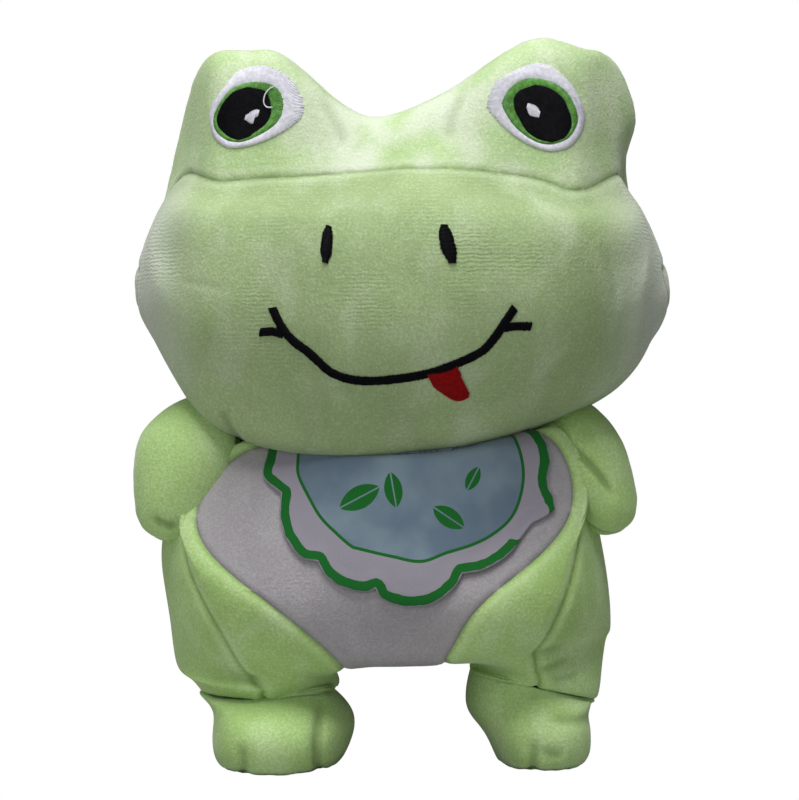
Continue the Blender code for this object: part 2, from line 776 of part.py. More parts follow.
def make_mouth(tree, collection, material):
    made = {}
    line = [mouth_point(step / MOUTH_STEPS) for step in range(MOUTH_STEPS + 1)]
    bow = ribbon(line, MOUTH_HALF_WIDTH)
    made["mouth_line"] = raised_patch("mouth_line", bow, tree, collection, material)
    clear = MOUTH_HALF_WIDTH + STITCH_GAP * 2
    for side, sign, end in (("left", -1, line[0]), ("right", 1, line[-1])):
        name = "mouth_corner_" + side
        start_x = end[0] - sign * PRONG_LENGTH * PRONG_IN_SHARE
        start = (start_x, end[1] + clear + PRONG_LENGTH * PRONG_UP_SHARE)
        elbow = (end[0] + sign * STITCH_GAP, end[1] + clear)
        tip = (end[0] + sign * PRONG_LENGTH, end[1] + clear - STITCH_GAP)
        turn = (elbow[0] + sign * MOUTH_HALF_WIDTH, elbow[1])
        made[name] = raised_patch(
            name, ribbon((start, elbow, turn, tip), MOUTH_HALF_WIDTH), tree, collection, material
        )
    return made


def make_tongue(tree, collection, material):
    share = (TONGUE_ACROSS_SHARE - MOUTH_LEFT_SHARE) / (MOUTH_RIGHT_SHARE - MOUTH_LEFT_SHARE)
    top = mouth_point(share)
    middle_z = top[1] - MOUTH_HALF_WIDTH - STITCH_GAP * 2 - TONGUE_LONG / 2
    outline = oval(top[0], middle_z, TONGUE_WIDE, TONGUE_LONG / 2, TONGUE_SEGMENTS, TONGUE_LEAN)
    low = top[1] - MOUTH_HALF_WIDTH - STITCH_GAP * 3
    clipped = [(x, min(z, low)) for x, z in outline]
    return raised_patch("tongue", flat_rings((clipped,), (top[0], middle_z)), tree, collection, material)


def bib_outline():
    """Half an oval below the neck, whose edge swells out in scallops."""
    points = []
    steps = BIB_SCALLOPS * BIB_SCALLOP_STEPS
    for step in range(steps + 1):
        turn = pi * step / steps
        dip = BIB_SCALLOP * (1 - abs(sin(BIB_SCALLOPS * turn)))
        across = -cos(turn) * (BIB_HALF_WIDTH - dip)
        fall = BIB_NECK_FALL * cos(turn) ** 2 * (1 - sin(turn))
        points.append((BIB_X + across, BIB_TOP_Z - fall - sin(turn) * (BIB_DROP - dip)))
    return points


def make_bib(tree, collection, material):
    """A single cloth that lies on the belly from the neck seam down."""
    outline = bib_outline()
    hub = (BIB_X, BIB_TOP_Z)
    rings = []
    for share in BIB_RING_SHARES:
        rings.append([(hub[0] + (x - hub[0]) * share, hub[1] + (z - hub[1]) * share) for x, z in outline])
    bm = bmesh.new()
    made = [[bm.verts.new((x, 0, z)) for x, z in ring] for ring in rings]
    for inner, outer in zip(made, made[1:]):
        for corner in range(len(inner) - 1):
            bm.faces.new((inner[corner], inner[corner + 1], outer[corner + 1], outer[corner]))
    middle = bm.verts.new((hub[0], 0, hub[1]))
    for corner in range(len(made[0]) - 1):
        bm.faces.new((middle, made[0][corner + 1], made[0][corner]))
    bib = raised_patch("bib", bm, tree, collection, material, BIB_LIFT, BIB_CLOTH)
    put_origin(bib, (0, BIB_HINGE_Y, BIB_TOP_Z + BIB_HINGE_RISE))
    return bib


def neck_ball(collection, material):
    bm = bmesh.new()
    bmesh.ops.create_uvsphere(bm, u_segments=NECK_SEGMENTS, v_segments=NECK_RINGS, radius=NECK_RADIUS)
    obj = mesh_object("neck_stuffing", bm, collection, material)
    obj.location = (0, 0, NECK_Z)
    return obj


def floor_cutter(cutters):
    bm = bmesh.new()
    bmesh.ops.create_cube(bm, size=FLOOR_BLOCK)
    bmesh.ops.translate(bm, verts=bm.verts[:], vec=(0, 0, -FLOOR_BLOCK / 2))
    return as_cutter(mesh_object("floor_cutter", bm, cutters, smooth=False))


def body_cutter(side, surface, cutters):
    """The body's own form grown by an arm's room, which trims that arm to it."""
    bm = bmesh.new()
    bm.from_mesh(surface)
    bm.normal_update()
    normals = [vert.normal.copy() for vert in bm.verts]
    for vert, normal in zip(bm.verts, normals):
        vert.co += normal * ARMS[side]["room"]
    return as_cutter(mesh_object("body_cutter_" + side, bm, cutters))


def build():
    clear_scene()
    collection = make_collection(PART_NAME)
    cutters = make_collection("cutters")
    helpers = make_collection("helpers")
    materials = {name: make_material(name) for name in COLOURS}
    green = materials["plush_green"]
    filling = materials["stuffing"]

    neck = (0, 0, NECK_Z)
    neck_cutter = ball_cutter("neck_cutter", NECK_RADIUS + PIECE_GAP, neck, cutters)
    neck_ball(collection, filling)

    head = head_surface(helpers)
    head_pieces = [
        panel("forehead_panel", head, {FOREHEAD}, collection, green),
        panel("face_panel", head, {FACE}, collection, green),
        panel("head_back_left", head, {BACK_LEFT}, collection, green),
        panel("head_back_right", head, {BACK_RIGHT}, collection, green),
        stuffing("head_stuffing", head, set(), collection, filling),
    ]
    for piece in head_pieces[1:]:
        cut_by(piece, neck_cutter, "neck_socket")
    head_tree = surface_tree(head)
    for side in ("left", "right"):
        head_pieces.extend(make_eye(side, head_tree, collection, materials).values())
        nostril = face_place(NOSTRIL_SHARES[side])
        outline = oval(*nostril, NOSTRIL_WIDE, NOSTRIL_HIGH, NOSTRIL_SEGMENTS, NOSTRIL_LEANS[side])
        patch = flat_rings((outline,), nostril)
        head_pieces.append(
            raised_patch("nostril_" + side, patch, head_tree, collection, materials["thread_black"])
        )
    head_pieces.extend(make_mouth(head_tree, collection, materials["thread_black"]).values())
    head_pieces.append(make_tongue(head_tree, collection, materials["thread_red"]))
    for piece in head_pieces:
        put_origin(piece, neck)

    body = body_surface(helpers)
    filled = stuffing("body_stuffing", body, set(), collection, filling)
    cut_by(filled, neck_cutter, "neck_socket")
    belly = panel("belly_panel", body, {BELLY}, collection, materials["plush_white"])
    cut_by(belly, neck_cutter, "neck_socket")
    for side, thigh, back in (("left", THIGH_LEFT, SIDE_LEFT), ("right", THIGH_RIGHT, SIDE_RIGHT)):
        centre = (ANKLES[side]["x"], ANKLES[side]["y"], ANKLE_BALL_Z)
        radius = ANKLE_BALL_RADIUS + ANKLE_CLEARANCE
        ankle_cutter = ball_cutter("ankle_cutter_" + side, radius, centre, cutters)
        cut_by(filled, ankle_cutter, "ankle_socket_" + side)
        for name, label in (("thigh_panel_", thigh), ("back_panel_", back)):
            piece = panel(name + side, body, {label}, collection, green)
            cut_by(piece, neck_cutter, "neck_socket")
            cut_by(piece, ankle_cutter, "ankle_socket")

    for side in ("left", "right"):
        trim = body_cutter(side, body, cutters)
        arm = arm_surface(side, helpers)
        for piece in (
            panel("arm_outer_" + side, arm, {ARM_OUTER}, collection, green),
            panel("arm_inner_" + side, arm, {ARM_INNER}, collection, green),
            stuffing("arm_stuffing_" + side, arm, set(), collection, filling),
        ):
            cut_by(piece, trim, "body_side")
            put_origin(piece, ARMS[side]["pivot"])

    floor = floor_cutter(cutters)
    for side in ("left", "right"):
        foot = foot_surface(side, helpers)
        sole = panel("foot_sole_" + side, foot, {SOLE}, collection, green)
        cut_by(sole, floor, "flat_to_rest_on")
        pieces = (
            panel("foot_upper_" + side, foot, {UPPER}, collection, green),
            sole,
            stuffing("foot_stuffing_" + side, foot, {ANKLE_HOLE}, collection, filling),
        )
        for piece in pieces:
            put_origin(piece, (ANKLES[side]["x"], ANKLES[side]["y"], ANKLE_BALL_Z))

    make_bib(surface_tree(body), collection, materials["bib_cloth"])
    bpy.data.collections.remove(helpers)


build()
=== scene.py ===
from math import cos, hypot, pi, radians, sin

import bmesh
import bpy
import numpy as np
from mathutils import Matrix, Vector, noise
from mathutils.bvhtree import BVHTree
from mathutils.kdtree import KDTree


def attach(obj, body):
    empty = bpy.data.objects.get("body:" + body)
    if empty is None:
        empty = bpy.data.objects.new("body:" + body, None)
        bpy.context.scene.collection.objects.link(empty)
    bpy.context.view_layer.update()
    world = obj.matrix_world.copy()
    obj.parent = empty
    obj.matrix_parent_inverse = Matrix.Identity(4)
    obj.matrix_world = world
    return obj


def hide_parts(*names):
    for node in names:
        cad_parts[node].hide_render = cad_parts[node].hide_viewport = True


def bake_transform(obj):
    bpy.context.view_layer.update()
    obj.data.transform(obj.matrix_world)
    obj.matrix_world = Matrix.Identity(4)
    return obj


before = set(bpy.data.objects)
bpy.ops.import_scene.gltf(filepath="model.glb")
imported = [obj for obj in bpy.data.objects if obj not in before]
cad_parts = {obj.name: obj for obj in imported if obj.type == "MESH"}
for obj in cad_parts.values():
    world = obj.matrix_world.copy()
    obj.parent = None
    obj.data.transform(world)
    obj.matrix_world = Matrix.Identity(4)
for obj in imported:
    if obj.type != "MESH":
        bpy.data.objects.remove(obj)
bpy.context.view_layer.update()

# The looks of the plush frog. Metres, +Z up, the face along -Y, as in the part.
# Each stuffed form is a rounded cage with its seams drawn in, parted into plush panels.

MM = 0.001
ROUNDING_LEVELS = 4
FIT_ROUNDS = 12
CLOTH = 1.1 * MM
SIDE_SIGNS = {"left": -1, "right": 1}

# Head: half width at the cheeks, underside and height, depths from the neck axis
HEAD_HALF_WIDTH = 0.0895
HEAD_BASE_Z = 0.103
HEAD_HEIGHT = 0.142
HEAD_FRONT_DEPTH = 0.0575
HEAD_BACK_DEPTH = 0.0575
HEAD_FULLNESS_POWER = 2.4
# Each column of the head: place across, ridge, brow seam and underside heights, brow fullness, how
# far its rows below and above the brow seam have turned round to the side, and how the chin hangs
HEAD_COLUMN_SHARES = (
    (-0.915, 0.59, 0.49, 0.27, 1.0, 1.0, 1.0, 0.0),
    (-0.815, 0.848, 0.656, 0.165, 1.0, 0.3, 0.55, -0.004),
    (-0.7, 0.96, 0.653, 0.085, 1.12, 0.0, 0.0, -0.012),
    (-0.56, 0.966, 0.654, 0.048, 1.18, 0.0, 0.0, -0.022),
    (-0.42, 0.948, 0.657, 0.024, 1.2, 0.0, 0.0, -0.027),
    (-0.19, 0.831, 0.668, 0.003, 1.06, 0.0, 0.0, -0.024),
    (0.0, 0.822, 0.677, 0.0, 1.0, 0.0, 0.0, -0.012),
    (0.2, 0.88, 0.677, 0.005, 1.06, 0.0, 0.0, 0.013),
    (0.38, 0.955, 0.666, 0.036, 1.18, 0.0, 0.0, 0.022),
    (0.54, 0.995, 0.648, 0.078, 1.2, 0.0, 0.0, 0.02),
    (0.69, 0.972, 0.631, 0.125, 1.12, 0.0, 0.0, 0.01),
    (0.855, 0.906, 0.622, 0.195, 1.0, 0.3, 0.6, 0.0),
    (0.925, 0.59, 0.5, 0.275, 1.0, 1.0, 1.0, 0.0),
)
# How much of the chin's hang each row below the brow seam takes
CHIN_ROW_SHARES = {5: 0.4, 6: 1.0, 7: 0.45}
# Each row around a column: depth as a share of front (-) or back (+), then its height between
# the underside and the brow seam, or between the brow seam and the ridge
HEAD_ROW_SHARES = (
    (-0.09, "upper", 1.0),
    (-0.4, "upper", 0.72),
    (-0.62, "upper", 0.0),
    (-0.9, "lower", 0.85),
    (-1.0, "lower", 0.62),
    (-0.96, "lower", 0.37),
    (-0.76, "lower", 0.12),
    (-0.46, "lower", 0.0),
    (0.52, "lower", 0.0),
    (0.89, "lower", 0.28),
    (1.0, "lower", 0.72),
    (0.58, "upper", 0.52),
)
# The same rows on the sides of the head: depth, and height between the underside and the ridge
HEAD_SIDE_SHARES = (
    (0.52, 0.94), (0.32, 0.99), (0.1, 1.0), (-0.46, 0.93), (-0.84, 0.7), (-1.0, 0.42),
    (-0.78, 0.12), (-0.42, 0.0), (0.46, 0.0), (0.86, 0.24), (1.0, 0.56), (0.8, 0.8),
)
CHEEK_CAP_SHARE = 0.42
CHEEK_CAP_HEIGHT_SHARE = 0.405
CHEEK_FULL_SHARE = (0.982, 0.992)

# Body rings from the neck down, as in the part, with shoulders that rise to the cheeks
BODY_RINGS = (
    {"z": 0.1, "sides_z": (0.1052, 0.11), "middle": 0.001, "front_rise": 0.0044,
     "half": 0.041, "front": 0.035, "back": 0.034},
    {"z": 0.0968, "sides_z": (0.1085, 0.115), "middle": -0.0005, "front_rise": 0.0022,
     "half": 0.058, "front": 0.0425, "back": 0.04},
    {"z": 0.08, "sides_z": (0.084, 0.086), "middle": -0.006,
     "half": 0.0725, "front": 0.0475, "back": 0.044},
    {"z": 0.06, "sides_z": (0.06, 0.06), "middle": -0.0045,
     "half": 0.0755, "front": 0.052, "back": 0.047},
    {"z": 0.044, "sides_z": (0.045, 0.045), "middle": -0.003,
     "half": 0.0748, "front": 0.048, "back": 0.044},
    {"z": 0.0356, "sides_z": (0.0362, 0.0362), "middle": -0.0028, "tilt": 0.055,
     "half": 0.0726, "front": 0.039, "back": 0.035},
)
BELLY_SEAM_SHARES = (
    (0.82, 0.8), (0.87, 0.86), (0.85, 0.865), (0.567, 0.464), (0.324, 0.287), (0.22, 0.255),
)
THIGH_SEAM_SHARES = (
    (0.9, 0.89), (0.93, 0.92), (0.895, 0.905), (0.825, 0.797), (0.737, 0.683), (0.673, 0.66),
)
BODY_BACK_SHARE = 0.8
BODY_SPINE_SHARES = (0.42, 0.42, 0.42, 0.42, 0.38, 0.27)
BODY_FULLNESS_POWER = 2.3
NECK_CAP_SHARE = 0.4
NECK_CAP_RISE = 0.001
CROTCH_DROP = 0.001

# Legs and feet: middle of the ankle, the foot's reach, and how the ankle seam slopes across
ANKLES = {
    "left": {"x": -0.0415, "y": -0.01, "toe": 0.0375, "heel": 0.035, "out": 0.0212, "in": 0.0262,
             "seam_z": 0.0248, "slope": 0.02, "wave": 0.0014, "bulge": 0.006, "leg_in": 0.92},
    "right": {"x": 0.0428, "y": -0.004, "toe": 0.0315, "heel": 0.032, "out": 0.0212, "in": 0.0205,
              "seam_z": 0.0276, "slope": -0.25, "wave": 0.0004, "bulge": 0.002, "leg_in": 0.86},
}
ANKLE_RADIUS = 0.0222
ANKLE_WAVE_LENGTH = 0.044
LEG_ANGLES = (-50, 8, 75, 140, 210, 265)
# Each ring of a leg down to the ankle seam: rise above the seam, size, how far it bulges out, and
# its depth from front to back
LEG_RINGS = ((0.0038, 1.02, 1.0, 1.1), (0.0006, 0.985, 0.55, 1.02), (0.0001, 0.84, 0.25, 1.0))
FOOT_TOP_BULGE_SHARE = 0.6
# Each ring of a foot's top, turned in at the ankle seam: rise above the seam, and size
FOOT_TOP_RINGS = ((-0.0012, 0.985), (-0.0002, 0.86), (0.0, 0.45))
# Each ring of a foot from the sole up: height, size, its reach on the inner side and forwards
FOOT_RINGS = {
    "left": ((0.001, 0.6, 0.88, 0.66), (0.0003, 0.8, 0.9, 0.86), (0.0046, 0.965, 0.92, 0.985),
             (0.012, 1.0, 1.0, 1.0), (0.019, 1.0, 0.95, 0.84)),
    "right": ((0.001, 0.6, 0.5, 0.66), (0.0003, 0.8, 0.52, 0.86), (0.0046, 0.965, 0.56, 0.985),
              (0.012, 1.0, 0.76, 1.0), (0.0198, 1.0, 0.98, 0.86)),
}
FOOT_CORNER_SHARES = {
    "left": (
        (0.0, -1.0), (0.78, -0.7), (1.0, 0.0), (0.78, 0.74),
        (-0.02, 1.0), (-0.78, 0.68), (-1.0, 0.0), (-0.78, -0.7),
    ),
    "right": (
        (0.0, -1.0), (0.78, -0.7), (1.0, 0.05), (0.86, 0.8),
        (0.12, 1.0), (-0.7, 0.66), (-1.0, -0.05), (-0.8, -0.72),
    ),
}

# Arms, tucked up under the cheeks
ARMS = {
    "left": {"top": (-0.0648, -0.008, 0.1222), "tip": (-0.0796, -0.017, 0.0755),
             "half": 0.0178, "deep": 0.0178,
             "shares": ((0.05, 0.48), (0.3, 0.96), (0.62, 0.9), (0.89, 0.57))},
    "right": {"top": (0.054, -0.005, 0.1222), "tip": (0.0738, -0.014, 0.0783),
              "half": 0.015, "deep": 0.016,
              "shares": ((0.05, 0.5), (0.3, 0.86), (0.62, 0.85), (0.89, 0.58))},
}
ARM_SIDES = 8
ARM_OUTER_STRIPS = (0, 1, 2, 7)

# How the sewing draws the plush in, and the ripples that it gathers
GROOVE_DEPTH = 0.75 * MM
FOOT_GROOVE_DEPTH = 0.25 * MM
GROOVE_WIDTH = 1.15 * MM
FULL_FOLD_DEPTH = 1.6 * MM
SHOULDER_RISE = 0.26 * MM
SHOULDER_WIDTH = 4.5 * MM
PUCKER_DEPTH = 0.55 * MM
PUCKER_REACH = 5.0 * MM
PUCKERS_PER_METRE = 230.0
# How steeply a fold fades at its ends, and where the cloth turns away from the front
FOLD_FADE = 4
FOLD_FACING = 3


def put_in_scene(name, data):
    obj = bpy.data.objects.new(name, data)
    bpy.context.scene.collection.objects.link(obj)
    return obj


def finished_mesh(obj):
    """A plain mesh of what an object's modifiers make."""
    depsgraph = bpy.context.evaluated_depsgraph_get()
    return bpy.data.meshes.new_from_object(obj.evaluated_get(depsgraph))


def quad_edges(quads):
    """The four edges of every quad, all first edges first."""
    return np.vstack([quads[:, [corner, (corner + 1) % 4]] for corner in range(4)])


class Form:
    """A closed rounded surface: corners, quads, the panel of each quad, and its seams."""

    def __init__(self, mesh):
        self.co = np.zeros(len(mesh.vertices) * 3, np.float64)
        mesh.vertices.foreach_get("co", self.co)
        self.co = self.co.reshape(-1, 3)
        quads = np.zeros(len(mesh.loops), np.int64)
        mesh.loops.foreach_get("vertex_index", quads)
        self.quads = quads.reshape(-1, 4)
        self.labels = np.zeros(len(mesh.polygons), np.int64)
        mesh.polygons.foreach_get("material_index", self.labels)
        self.seam = np.full(len(self.co), 1.0)
        self.pucker = np.zeros(len(self.co))
        self.fold = np.zeros(len(self.co))

    def normals(self):
        corners = self.co[self.quads]
        across = np.cross(corners[:, 2] - corners[:, 0], corners[:, 3] - corners[:, 1])
        total = np.zeros_like(self.co)
        for corner in range(4):
            np.add.at(total, self.quads[:, corner], across)
        return total / np.linalg.norm(total, axis=1)[:, None]

    def seam_edges(self):
        """The edges between panels."""
        ends = quad_edges(self.quads)
        faces = np.tile(np.arange(len(self.quads)), 4)
        ends.sort(axis=1)
        order = np.lexsort((ends[:, 1], ends[:, 0]))
        ends, faces = ends[order], faces[order]
        same = (ends[:-1] == ends[1:]).all(axis=1)
        apart = self.labels[faces[:-1]] != self.labels[faces[1:]]
        return ends[:-1][same & apart]

    def find_seams(self):
        """Distance of every corner to its nearest seam, and the gathering there."""
        edges = self.seam_edges()
        points = np.vstack([self.co[edges[:, 0]], self.co[edges].mean(axis=1)])
        tree = KDTree(len(points))
        for index, point in enumerate(points):
            tree.insert(point, index)
        tree.balance()
        ripple = [noise.noise(Vector(point) * PUCKERS_PER_METRE) for point in points]
        for index, point in enumerate(self.co):
            _, nearest, distance = tree.find(point)
            self.seam[index] = distance
            self.pucker[index] = ripple[nearest]

    def move_out(self, amount):
        self.co += self.normals() * amount[:, None]

    def draw_in_seams(self, depth=GROOVE_DEPTH):
        near = self.seam
        amount = -depth * np.exp(-((near / GROOVE_WIDTH) ** 2))
        amount += SHOULDER_RISE * np.exp(-(((near - SHOULDER_WIDTH) / SHOULDER_WIDTH) ** 2))
        gather = self.pucker * np.exp(-near / PUCKER_REACH) * np.minimum(1, near / GROOVE_WIDTH)
        self.move_out(amount + PUCKER_DEPTH * gather)

    def crease(self, line, depth, width):
        """Press a fold in along a line seen from the front, fading at its ends."""
        normals = self.normals()
        away, share = distance_to_line(self.co[:, [0, 2]], line)
        fade = np.clip(np.minimum(share, 1 - share) * FOLD_FADE, 0, 1)
        amount = depth * np.exp(-((away / width) ** 2)) * fade
        amount *= np.clip(0.5 - FOLD_FACING * normals[:, 1], 0, 1)
        self.co -= normals * amount[:, None]
        # The fold's depth as a share of a full fold, by which the plush paints shade in the crease
        self.fold = np.maximum(self.fold, amount / FULL_FOLD_DEPTH)

    def swell(self, centre, radius, height):
        """Raise a soft mound, or a hollow where the height is below zero."""
        away = np.linalg.norm(self.co - np.array(centre), axis=1) / radius
        self.move_out(height * np.clip(1 - away**2, 0, 1) ** 2)

    def tree(self):
        return BVHTree.FromPolygons(self.co.tolist(), self.quads.tolist())


def distance_to_line(points, line):
    """Distance of flat points to a line of points, and how far along it the nearest place lies."""
    line = np.array(line, float)
    lengths = np.linalg.norm(np.diff(line, axis=0), axis=1)
    total = lengths.sum()
    best = np.full(len(points), np.inf)
    share = np.zeros(len(points))
    before = 0.0
    for start, end, length in zip(line, line[1:], lengths):
        along = np.clip(((points - start) @ (end - start)) / length**2, 0, 1)
        away = np.linalg.norm(points - start - along[:, None] * (end - start), axis=1)
        closer = away < best
        best[closer] = away[closer]
        share[closer] = (before + along[closer] * length) / total
        before += length
    return best, share


def limit_point(vert):
    """Where the rounded surface passes for one corner of an all-quad cage."""
    count = len(vert.link_edges)
    beside = sum((edge.other_vert(vert).co for edge in vert.link_edges), Vector())
    across = Vector()
    for loop in vert.link_loops:
        across += loop.link_loop_next.link_loop_next.vert.co
    return (vert.co * count**2 + beside * 4 + across) / (count * (count + 5))


def rounded_form(name, bm):
    """The rounded surface that passes through the drawn corners of a cage."""
    drawn = [vert.co.copy() for vert in bm.verts]
    for _ in range(FIT_ROUNDS):
        reached = [limit_point(vert) for vert in bm.verts]
        for vert, goal, now in zip(bm.verts, drawn, reached):
            vert.co += goal - now
    bmesh.ops.recalc_face_normals(bm, faces=bm.faces[:])
    mesh = bpy.data.meshes.new(name)
    bm.to_mesh(mesh)
    bm.free()
    obj = put_in_scene(name, mesh)
    obj.modifiers.new("rounding", "SUBSURF").levels = ROUNDING_LEVELS
    surface = finished_mesh(obj)
    form = Form(surface)
    bpy.data.objects.remove(obj, do_unlink=True)
    bpy.data.meshes.remove(surface)
    return form


def middle_of(ring):
    return sum((vert.co for vert in ring), Vector()) / len(ring)


def add_face(bm, corners, label):
    bm.faces.new(corners).material_index = label


def add_quads(bm, rings, label_of):
    """Join closed rings of corners, each ring to the next."""
    for row, (upper, lower) in enumerate(zip(rings, rings[1:])):
        count = len(upper)
        for column in range(count):
            after = (column + 1) % count
            corners = (upper[column], upper[after], lower[after], lower[column])
            add_face(bm, corners, label_of(row, column))


def add_twelve_cap(bm, loop, inner, labels):
    """Close a loop of 12 corners with a grid of nine faces round four inner corners."""
    for corner in range(4):
        start = corner * 3 + 1
        here = loop[start]
        before = loop[(start - 1) % 12]
        after = loop[(start + 1) % 12]
        second = loop[(start + 2) % 12]
        add_face(bm, (before, here, after, inner[corner]), labels["corner"][corner])
        add_face(bm, (inner[corner], after, second, inner[(corner + 1) % 4]), labels["side"][corner])
    add_face(bm, inner, labels["middle"])


def add_fan_cap(bm, ring, end, label_of):
    """Close a ring of corners with quads round one corner at its end."""
    centre = bm.verts.new(end)
    for corner in range(0, len(ring), 2):
        add_face(bm, (ring[corner - 1], ring[corner], ring[corner + 1], centre), label_of(corner))


def fullness(share, power):
    """How deep a rounded form is at a share of its half width."""
    return max(0.0, 1 - abs(share) ** power) ** (1 / power)


# Head

FOREHEAD, FACE, BACK_LEFT, BACK_RIGHT = range(4)
MIDDLE_COLUMN = 6
FIRST_FACE_ROW = 2
FIRST_BACK_ROW = 8


def head_point(column, row):
    across, ridge, seam, under, brow, turned, turned_above, chin = HEAD_COLUMN_SHARES[column]
    depth, zone, height = HEAD_ROW_SHARES[row]
    side_depth, side_height = HEAD_SIDE_SHARES[row]
    full = fullness(across, HEAD_FULLNESS_POWER)
    if zone == "upper":
        level = seam + (ridge - seam) * height
        full *= brow if 0 < height < 1 else 1.0
        turned = turned_above
    else:
        level = under + (seam - under) * height + chin * CHIN_ROW_SHARES.get(row, 0.0)
    depth += (side_depth - depth) * turned
    level += (under + (ridge - under) * side_height - level) * max(0.0, 2 * turned - 1)
    reach = HEAD_BACK_DEPTH if depth > 0 else HEAD_FRONT_DEPTH
    return Vector((across * HEAD_HALF_WIDTH, depth * full * reach, HEAD_BASE_Z + level * HEAD_HEIGHT))


def head_label(column, row):
    if row < FIRST_FACE_ROW:
        return FOREHEAD
    if row < FIRST_BACK_ROW:
        return FACE
    return BACK_LEFT if column < MIDDLE_COLUMN else BACK_RIGHT


def head_form():
    bm = bmesh.new()
    columns = len(HEAD_COLUMN_SHARES)
    rows = len(HEAD_ROW_SHARES)
    loops = [[bm.verts.new(head_point(column, row)) for row in range(rows)] for column in range(columns)]
    add_quads(bm, loops, head_label)
    for end, back in ((0, BACK_LEFT), (columns - 1, BACK_RIGHT)):
        loop = loops[end]
        side = -1 if end == 0 else 1
        middle = middle_of(loop)
        middle.z = HEAD_BASE_Z + HEAD_HEIGHT * CHEEK_CAP_HEIGHT_SHARE
        inner = []
        for corner in range(4):
            point = middle.lerp(loop[corner * 3 + 1].co, CHEEK_CAP_SHARE)
            point.x = side * HEAD_HALF_WIDTH * CHEEK_FULL_SHARE[end > 0]
            inner.append(bm.verts.new(point))
        labels = {"corner": (back, FACE, FACE, back), "side": (FACE, FACE, back, back), "middle": back}
        add_twelve_cap(bm, loop, inner, labels)
    return rounded_form("head_form", bm)


# Body

BELLY, THIGH_LEFT, THIGH_RIGHT, SIDE_LEFT, SIDE_RIGHT, NECK_TOP, LEG_END = range(7)
BODY_COLUMNS = 12
BACK_COLUMN = 6
THIGH_COLUMN = 2


def body_point(ring, column):
    """Corner of a body ring. Column 0 is the front middle, 1 to 5 run round the right to 6, the back."""
    sizes = BODY_RINGS[ring]
    turned = column > BACK_COLUMN
    step = BODY_COLUMNS - column if turned else column
    side = 0 if turned else 1
    sign = -1 if turned else 1
    shares = (
        0.0,
        BELLY_SEAM_SHARES[ring][side],
        THIGH_SEAM_SHARES[ring][side],
        1.0,
        BODY_BACK_SHARE,
        BODY_SPINE_SHARES[ring],
        0.0,
    )
    share = shares[step]
    depth = fullness(share, BODY_FULLNESS_POWER)
    y = -sizes["front"] * depth if step <= THIGH_COLUMN else sizes["back"] * depth
    z = sizes["z"] + (sizes["sides_z"][side] - sizes["z"]) * share**2
    if step <= THIGH_COLUMN:
        z += sizes.get("front_rise", 0.0) * (1 - share**2)
    x = sizes["middle"] + sign * share * sizes["half"]
    return Vector((x, y, z + x * sizes.get("tilt", 0.0)))


def body_label(row, column):
    if column in (0, BODY_COLUMNS - 1):
        return BELLY
    if column == THIGH_COLUMN - 1:
        return THIGH_RIGHT
    if column == BODY_COLUMNS - THIGH_COLUMN:
        return THIGH_LEFT
    return SIDE_RIGHT if column < BACK_COLUMN else SIDE_LEFT


def leg_label(side, column):
    thigh, back = (THIGH_RIGHT, SIDE_RIGHT) if side == "right" else (THIGH_LEFT, SIDE_LEFT)
    return thigh if column in (0, 5) else back


def ankle_height(side, x):
    ankle = ANKLES[side]
    across = x - ankle["x"]
    wave = ankle["wave"] * sin(2 * pi * across / ANKLE_WAVE_LENGTH)
    return ankle["seam_z"] + ankle["slope"] * across + wave


def leg_corner(side, angle, radius, rise, bulge, deep):
    ankle = ANKLES[side]
    sign = SIDE_SIGNS[side]
    turn = radians(angle)
    out = sin(turn)
    x = ankle["x"] + sign * (out * (radius + bulge) if out > 0 else out * radius * ankle["leg_in"])
    return Vector((x, ankle["y"] - cos(turn) * radius * deep, ankle_height(side, x) + rise))


def body_form():
    bm = bmesh.new()
    rings = [
        [bm.verts.new(body_point(ring, column)) for column in range(BODY_COLUMNS)]
        for ring in range(len(BODY_RINGS))
    ]
    add_quads(bm, rings, body_label)
    neck = rings[0]
    middle = middle_of(neck)
    inner = []
    for corner in range(4):
        point = middle.lerp(neck[corner * 3 + 1].co, NECK_CAP_SHARE)
        point.z += NECK_CAP_RISE
        inner.append(bm.verts.new(point))
    add_twelve_cap(bm, neck, inner, {"corner": (NECK_TOP,) * 4, "side": (NECK_TOP,) * 4, "middle": NECK_TOP})
    last = rings[-1]
    crotch_z = last[0].co.z - CROTCH_DROP
    centre = bm.verts.new((last[0].co.x, (last[0].co.y + last[BACK_COLUMN].co.y) / 2, crotch_z))
    for side in ("right", "left"):
        order = (1, 2, 3, 4, 5) if side == "right" else (11, 10, 9, 8, 7)
        front_inner = last[order[0]]
        back_inner = last[order[4]]
        mid = bm.verts.new(((front_inner.co.x + back_inner.co.x) / 2, centre.co.y, crotch_z))
        add_face(bm, (last[0], front_inner, mid, centre), BELLY)
        back = SIDE_RIGHT if side == "right" else SIDE_LEFT
        add_face(bm, (centre, mid, back_inner, last[BACK_COLUMN]), back)
        loops = [[last[column] for column in order] + [mid]]
        for rise, share, bulge_share, deep in LEG_RINGS:
            radius = ANKLE_RADIUS * share
            bulge = ANKLES[side]["bulge"] * bulge_share
            corners = [leg_corner(side, angle, radius, rise, bulge, deep) for angle in LEG_ANGLES]
            loops.append([bm.verts.new(corner) for corner in corners])
        add_quads(bm, loops, lambda row, column, side=side: leg_label(side, column))
        foot_end = loops[-1]
        for corners in ((0, 1, 2, 3), (3, 4, 5, 0)):
            add_face(bm, [foot_end[corner] for corner in corners], LEG_END)
    return rounded_form("body_form", bm)


# Feet

UPPER, SOLE, ANKLE_END = range(3)


